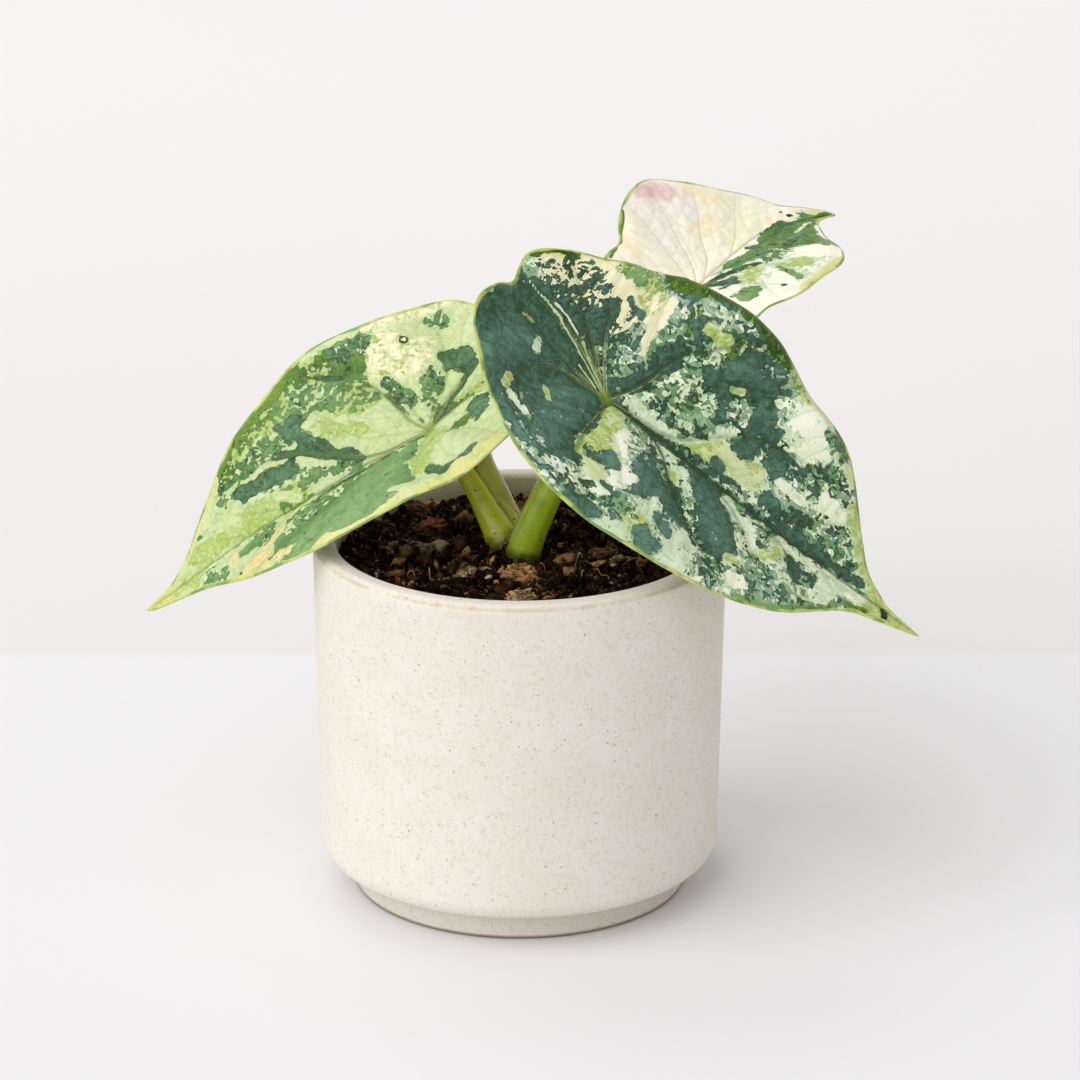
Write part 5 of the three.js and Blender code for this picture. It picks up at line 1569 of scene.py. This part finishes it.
class PLANT_OT_soil(bpy.types.Operator):
    """Fills the pot with crumbly bark mix, strews crumbs on it and soils the stems' base."""

    bl_idname = "plant.soil"
    bl_label = "Soil"

    def execute(self, context):
        settings = context.scene.plant_soil
        bed = soil_bed(settings)
        bed.data.materials.append(soil_material(settings, "Bark mix", 1.0))
        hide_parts("soil")
        crumbs = soil_crumbs(settings)
        crumbs.data.materials.append(soil_material(settings, "Loose crumbs", 0.45))
        stem_base = soil_material(settings, "Stem base", 0.6, own=settings.stem_base)
        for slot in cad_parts["crown"].material_slots:
            slot.material = stem_base
        return {"FINISHED"}


class PLANT_OT_fibres(bpy.types.Operator):
    """Strews short root fibres on the soil."""

    bl_idname = "plant.fibres"
    bl_label = "Root fibres"

    def execute(self, context):
        settings = context.scene.plant_soil
        random = rng(131)
        corners, faces, tints, total = [], [], [], 0
        for _ in range(settings.fibres):
            tube, sides, tint = root_fibre(random, settings, total)
            faces += sides
            total += len(tube)
            corners.append(tube)
            tints.append(np.tile(tint, (len(tube), 1)))
        fibres = build_mesh("soil_fibres", np.vstack(corners), faces)
        store(fibres, "tint", np.vstack(tints))
        fibres.data.materials.append(soil_material(settings, "Root fibres", 0.2))
        return {"FINISHED"}


class PLANT_OT_chips(bpy.types.Operator):
    """Lays the larger chips of bark and clay in the soil top."""

    bl_idname = "plant.chips"
    bl_label = "Bark chips"

    def execute(self, context):
        settings = context.scene.plant_soil
        rings, columns = 40, 64
        down = np.linspace(0, np.pi, rings + 2)[1:-1, None]
        angle = full_turn(columns)
        ball = np.stack(np.broadcast_arrays(
            np.sin(down) * np.cos(angle), np.sin(down) * np.sin(angle), np.cos(down)), -1).reshape(-1, 3)
        ball = np.vstack([ball, [[0, 0, 1], [0, 0, -1]]])
        corners, faces, tints = [], [], []
        for number, (place, size, degrees, tint) in enumerate(CHIPS.values()):
            shape, fold_light_and_shade = chip_surface(ball, number, place, size, degrees)
            faces += closed_faces(rings, columns, len(ball) * number)
            corners.append(shape)
            # Each chip's colour times its painted light and shade
            tints.append(np.outer(fold_light_and_shade, tint))
        chips = build_mesh("bark_chips", np.vstack(corners), faces)
        store(chips, "tint", np.vstack(tints))
        chips.data.materials.append(soil_material(settings, "Bark chips", 0.2))
        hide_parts(*CHIPS)
        return {"FINISHED"}


class PLANT_OT_stalks(bpy.types.Operator):
    """Grows the three leaf stalks from the crown to their blades."""

    bl_idname = "plant.stalks"
    bl_label = "Leaf stalks"

    def execute(self, context):
        settings = context.scene.plant_stalks
        for side in STALKS:
            piece = stalk_piece(side)
            piece.data.materials.append(stalk_material(side, getattr(settings, side), settings))
            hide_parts(f"petiole_{side}")
        return {"FINISHED"}


class PLANT_OT_leaves(bpy.types.Operator):
    """Grows the three variegated blades."""

    bl_idname = "plant.leaves"
    bl_label = "Leaf blades"

    def execute(self, context):
        settings = context.scene.plant_leaves
        for side in LEAVES:
            piece = blade_piece(side, settings)
            piece.data.materials.append(leaf_material(side, settings))
            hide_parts(f"blade_{side}")
        return {"FINISHED"}


class PLANT_OT_stage(bpy.types.Operator):
    """Lays the pale floor and sets the studio lights and the camera."""

    bl_idname = "plant.stage"
    bl_label = "Stage"

    def light(self, name, kind, power, size, place, aim):
        """One soft light: a square area light, or a sun whose disc is that wide in radians."""
        lamp = bpy.data.lights.new(name, kind)
        lamp.energy = power
        setattr(lamp, "size" if kind == "AREA" else "angle", size)
        holder = bpy.data.objects.new(name, lamp)
        holder.location = place
        direction = np.array(aim) - np.array(place)
        holder.rotation_euler = Vector(direction).to_track_quat("-Z", "Y").to_euler()
        bpy.context.scene.collection.objects.link(holder)

    def execute(self, context):
        settings = context.scene.plant_stage
        half = 3000.0
        square = [(-half, -half, 0), (half, -half, 0), (half, half, 0), (-half, half, 0)]
        floor = build_mesh("floor", square, [[0, 1, 2, 3]], body=None, smooth=False)
        material, graph, shader = new_material("Pale table", Specular_IOR_Level=0.3)
        place = graph.place()
        away = graph.axes(place)[1]
        cloud = graph.noise(place, 3.5)
        # Painted shade: the far floor is darker just behind the line and lightens farther off, as the light
        # falls
        dim = tuple(0.925 * c for c in settings.far_floor)
        far_floor_shade = graph.mix(graph.between(away, 0.18, 1.1, 1, 0), settings.far_floor, dim)
        painted = graph.mix(graph.between(away, 0.174, 0.186), settings.floor, far_floor_shade)
        dim = tuple(0.985 * c for c in settings.floor)
        painted = graph.mix(graph.between(cloud, 0.35, 0.7, 0.0, 0.5), painted, dim)
        graph.feed(shader.inputs["Base Color"], painted)
        graph.feed(shader.inputs["Roughness"], graph.between(cloud, 0.0, 1.0, 0.55, 0.7))
        floor.data.materials.append(material)

        world = bpy.data.worlds.new("Studio")
        world.use_nodes = True
        sky = world.node_tree.nodes["Background"]
        sky.inputs["Color"].default_value = (1.0, 0.985, 0.975, 1)
        sky.inputs["Strength"].default_value = settings.sky
        context.scene.world = world
        self.light("Key", "SUN", settings.key, 1.25, (-1.15, -0.95, 1.3), (0, 0, 0.1))
        self.light("Window", "AREA", settings.window, 0.8, (-0.5, 0.9, 1.3), (0, 0, 0.15))

        context.scene.view_settings.view_transform = "Standard"
        lens = bpy.data.cameras.new("Camera")
        lens.lens, lens.sensor_width = settings.lens, 36
        lens.clip_start, lens.clip_end = 0.05, 20
        camera = bpy.data.objects.new("Camera", lens)
        tilt = settings.tilt
        back = Vector((0, -np.cos(tilt), np.sin(tilt))) * settings.distance
        camera.location = Vector(settings.target) + back
        camera.rotation_euler = (-back).to_track_quat("-Z", "Y").to_euler()
        context.scene.collection.objects.link(camera)
        context.scene.camera = camera
        return {"FINISHED"}


class PLANT_PT_panel(bpy.types.Panel):
    """Lists the plant's pieces in the sidebar."""

    bl_label = "Potted Plant"
    bl_space_type = "VIEW_3D"
    bl_region_type = "UI"
    bl_category = "Potted Plant"

    def draw(self, context):
        for operator, group in PARTS:
            box = self.layout.box()
            box.operator(operator.bl_idname)
            for name in SETTINGS[group].__annotations__:
                box.prop(getattr(context.scene, group), name)


SETTINGS = {
    "plant_pot": PotSettings,
    "plant_soil": SoilSettings,
    "plant_stalks": StalkSettings,
    "plant_leaves": LeafSettings,
    "plant_stage": StageSettings,
}
PARTS = [
    (PLANT_OT_pot, "plant_pot"),
    (PLANT_OT_soil, "plant_soil"),
    (PLANT_OT_fibres, "plant_soil"),
    (PLANT_OT_chips, "plant_soil"),
    (PLANT_OT_stalks, "plant_stalks"),
    (PLANT_OT_leaves, "plant_leaves"),
    (PLANT_OT_stage, "plant_stage"),
]


def register():
    """Adds the settings, operators and panel to Blender."""
    for group, settings in SETTINGS.items():
        bpy.utils.register_class(settings)
        setattr(bpy.types.Scene, group, bpy.props.PointerProperty(type=settings))
    for operator, _ in PARTS:
        bpy.utils.register_class(operator)
    bpy.utils.register_class(PLANT_PT_panel)


def unregister():
    """Takes them out again."""
    bpy.utils.unregister_class(PLANT_PT_panel)
    for operator, _ in reversed(PARTS):
        bpy.utils.unregister_class(operator)
    for group, settings in SETTINGS.items():
        delattr(bpy.types.Scene, group)
        bpy.utils.unregister_class(settings)


def main():
    """Builds every piece in order."""
    register()
    for operator, _ in PARTS:
        area, name = operator.bl_idname.split(".")
        getattr(getattr(bpy.ops, area), name)()


if __name__ == "__main__":
    main()
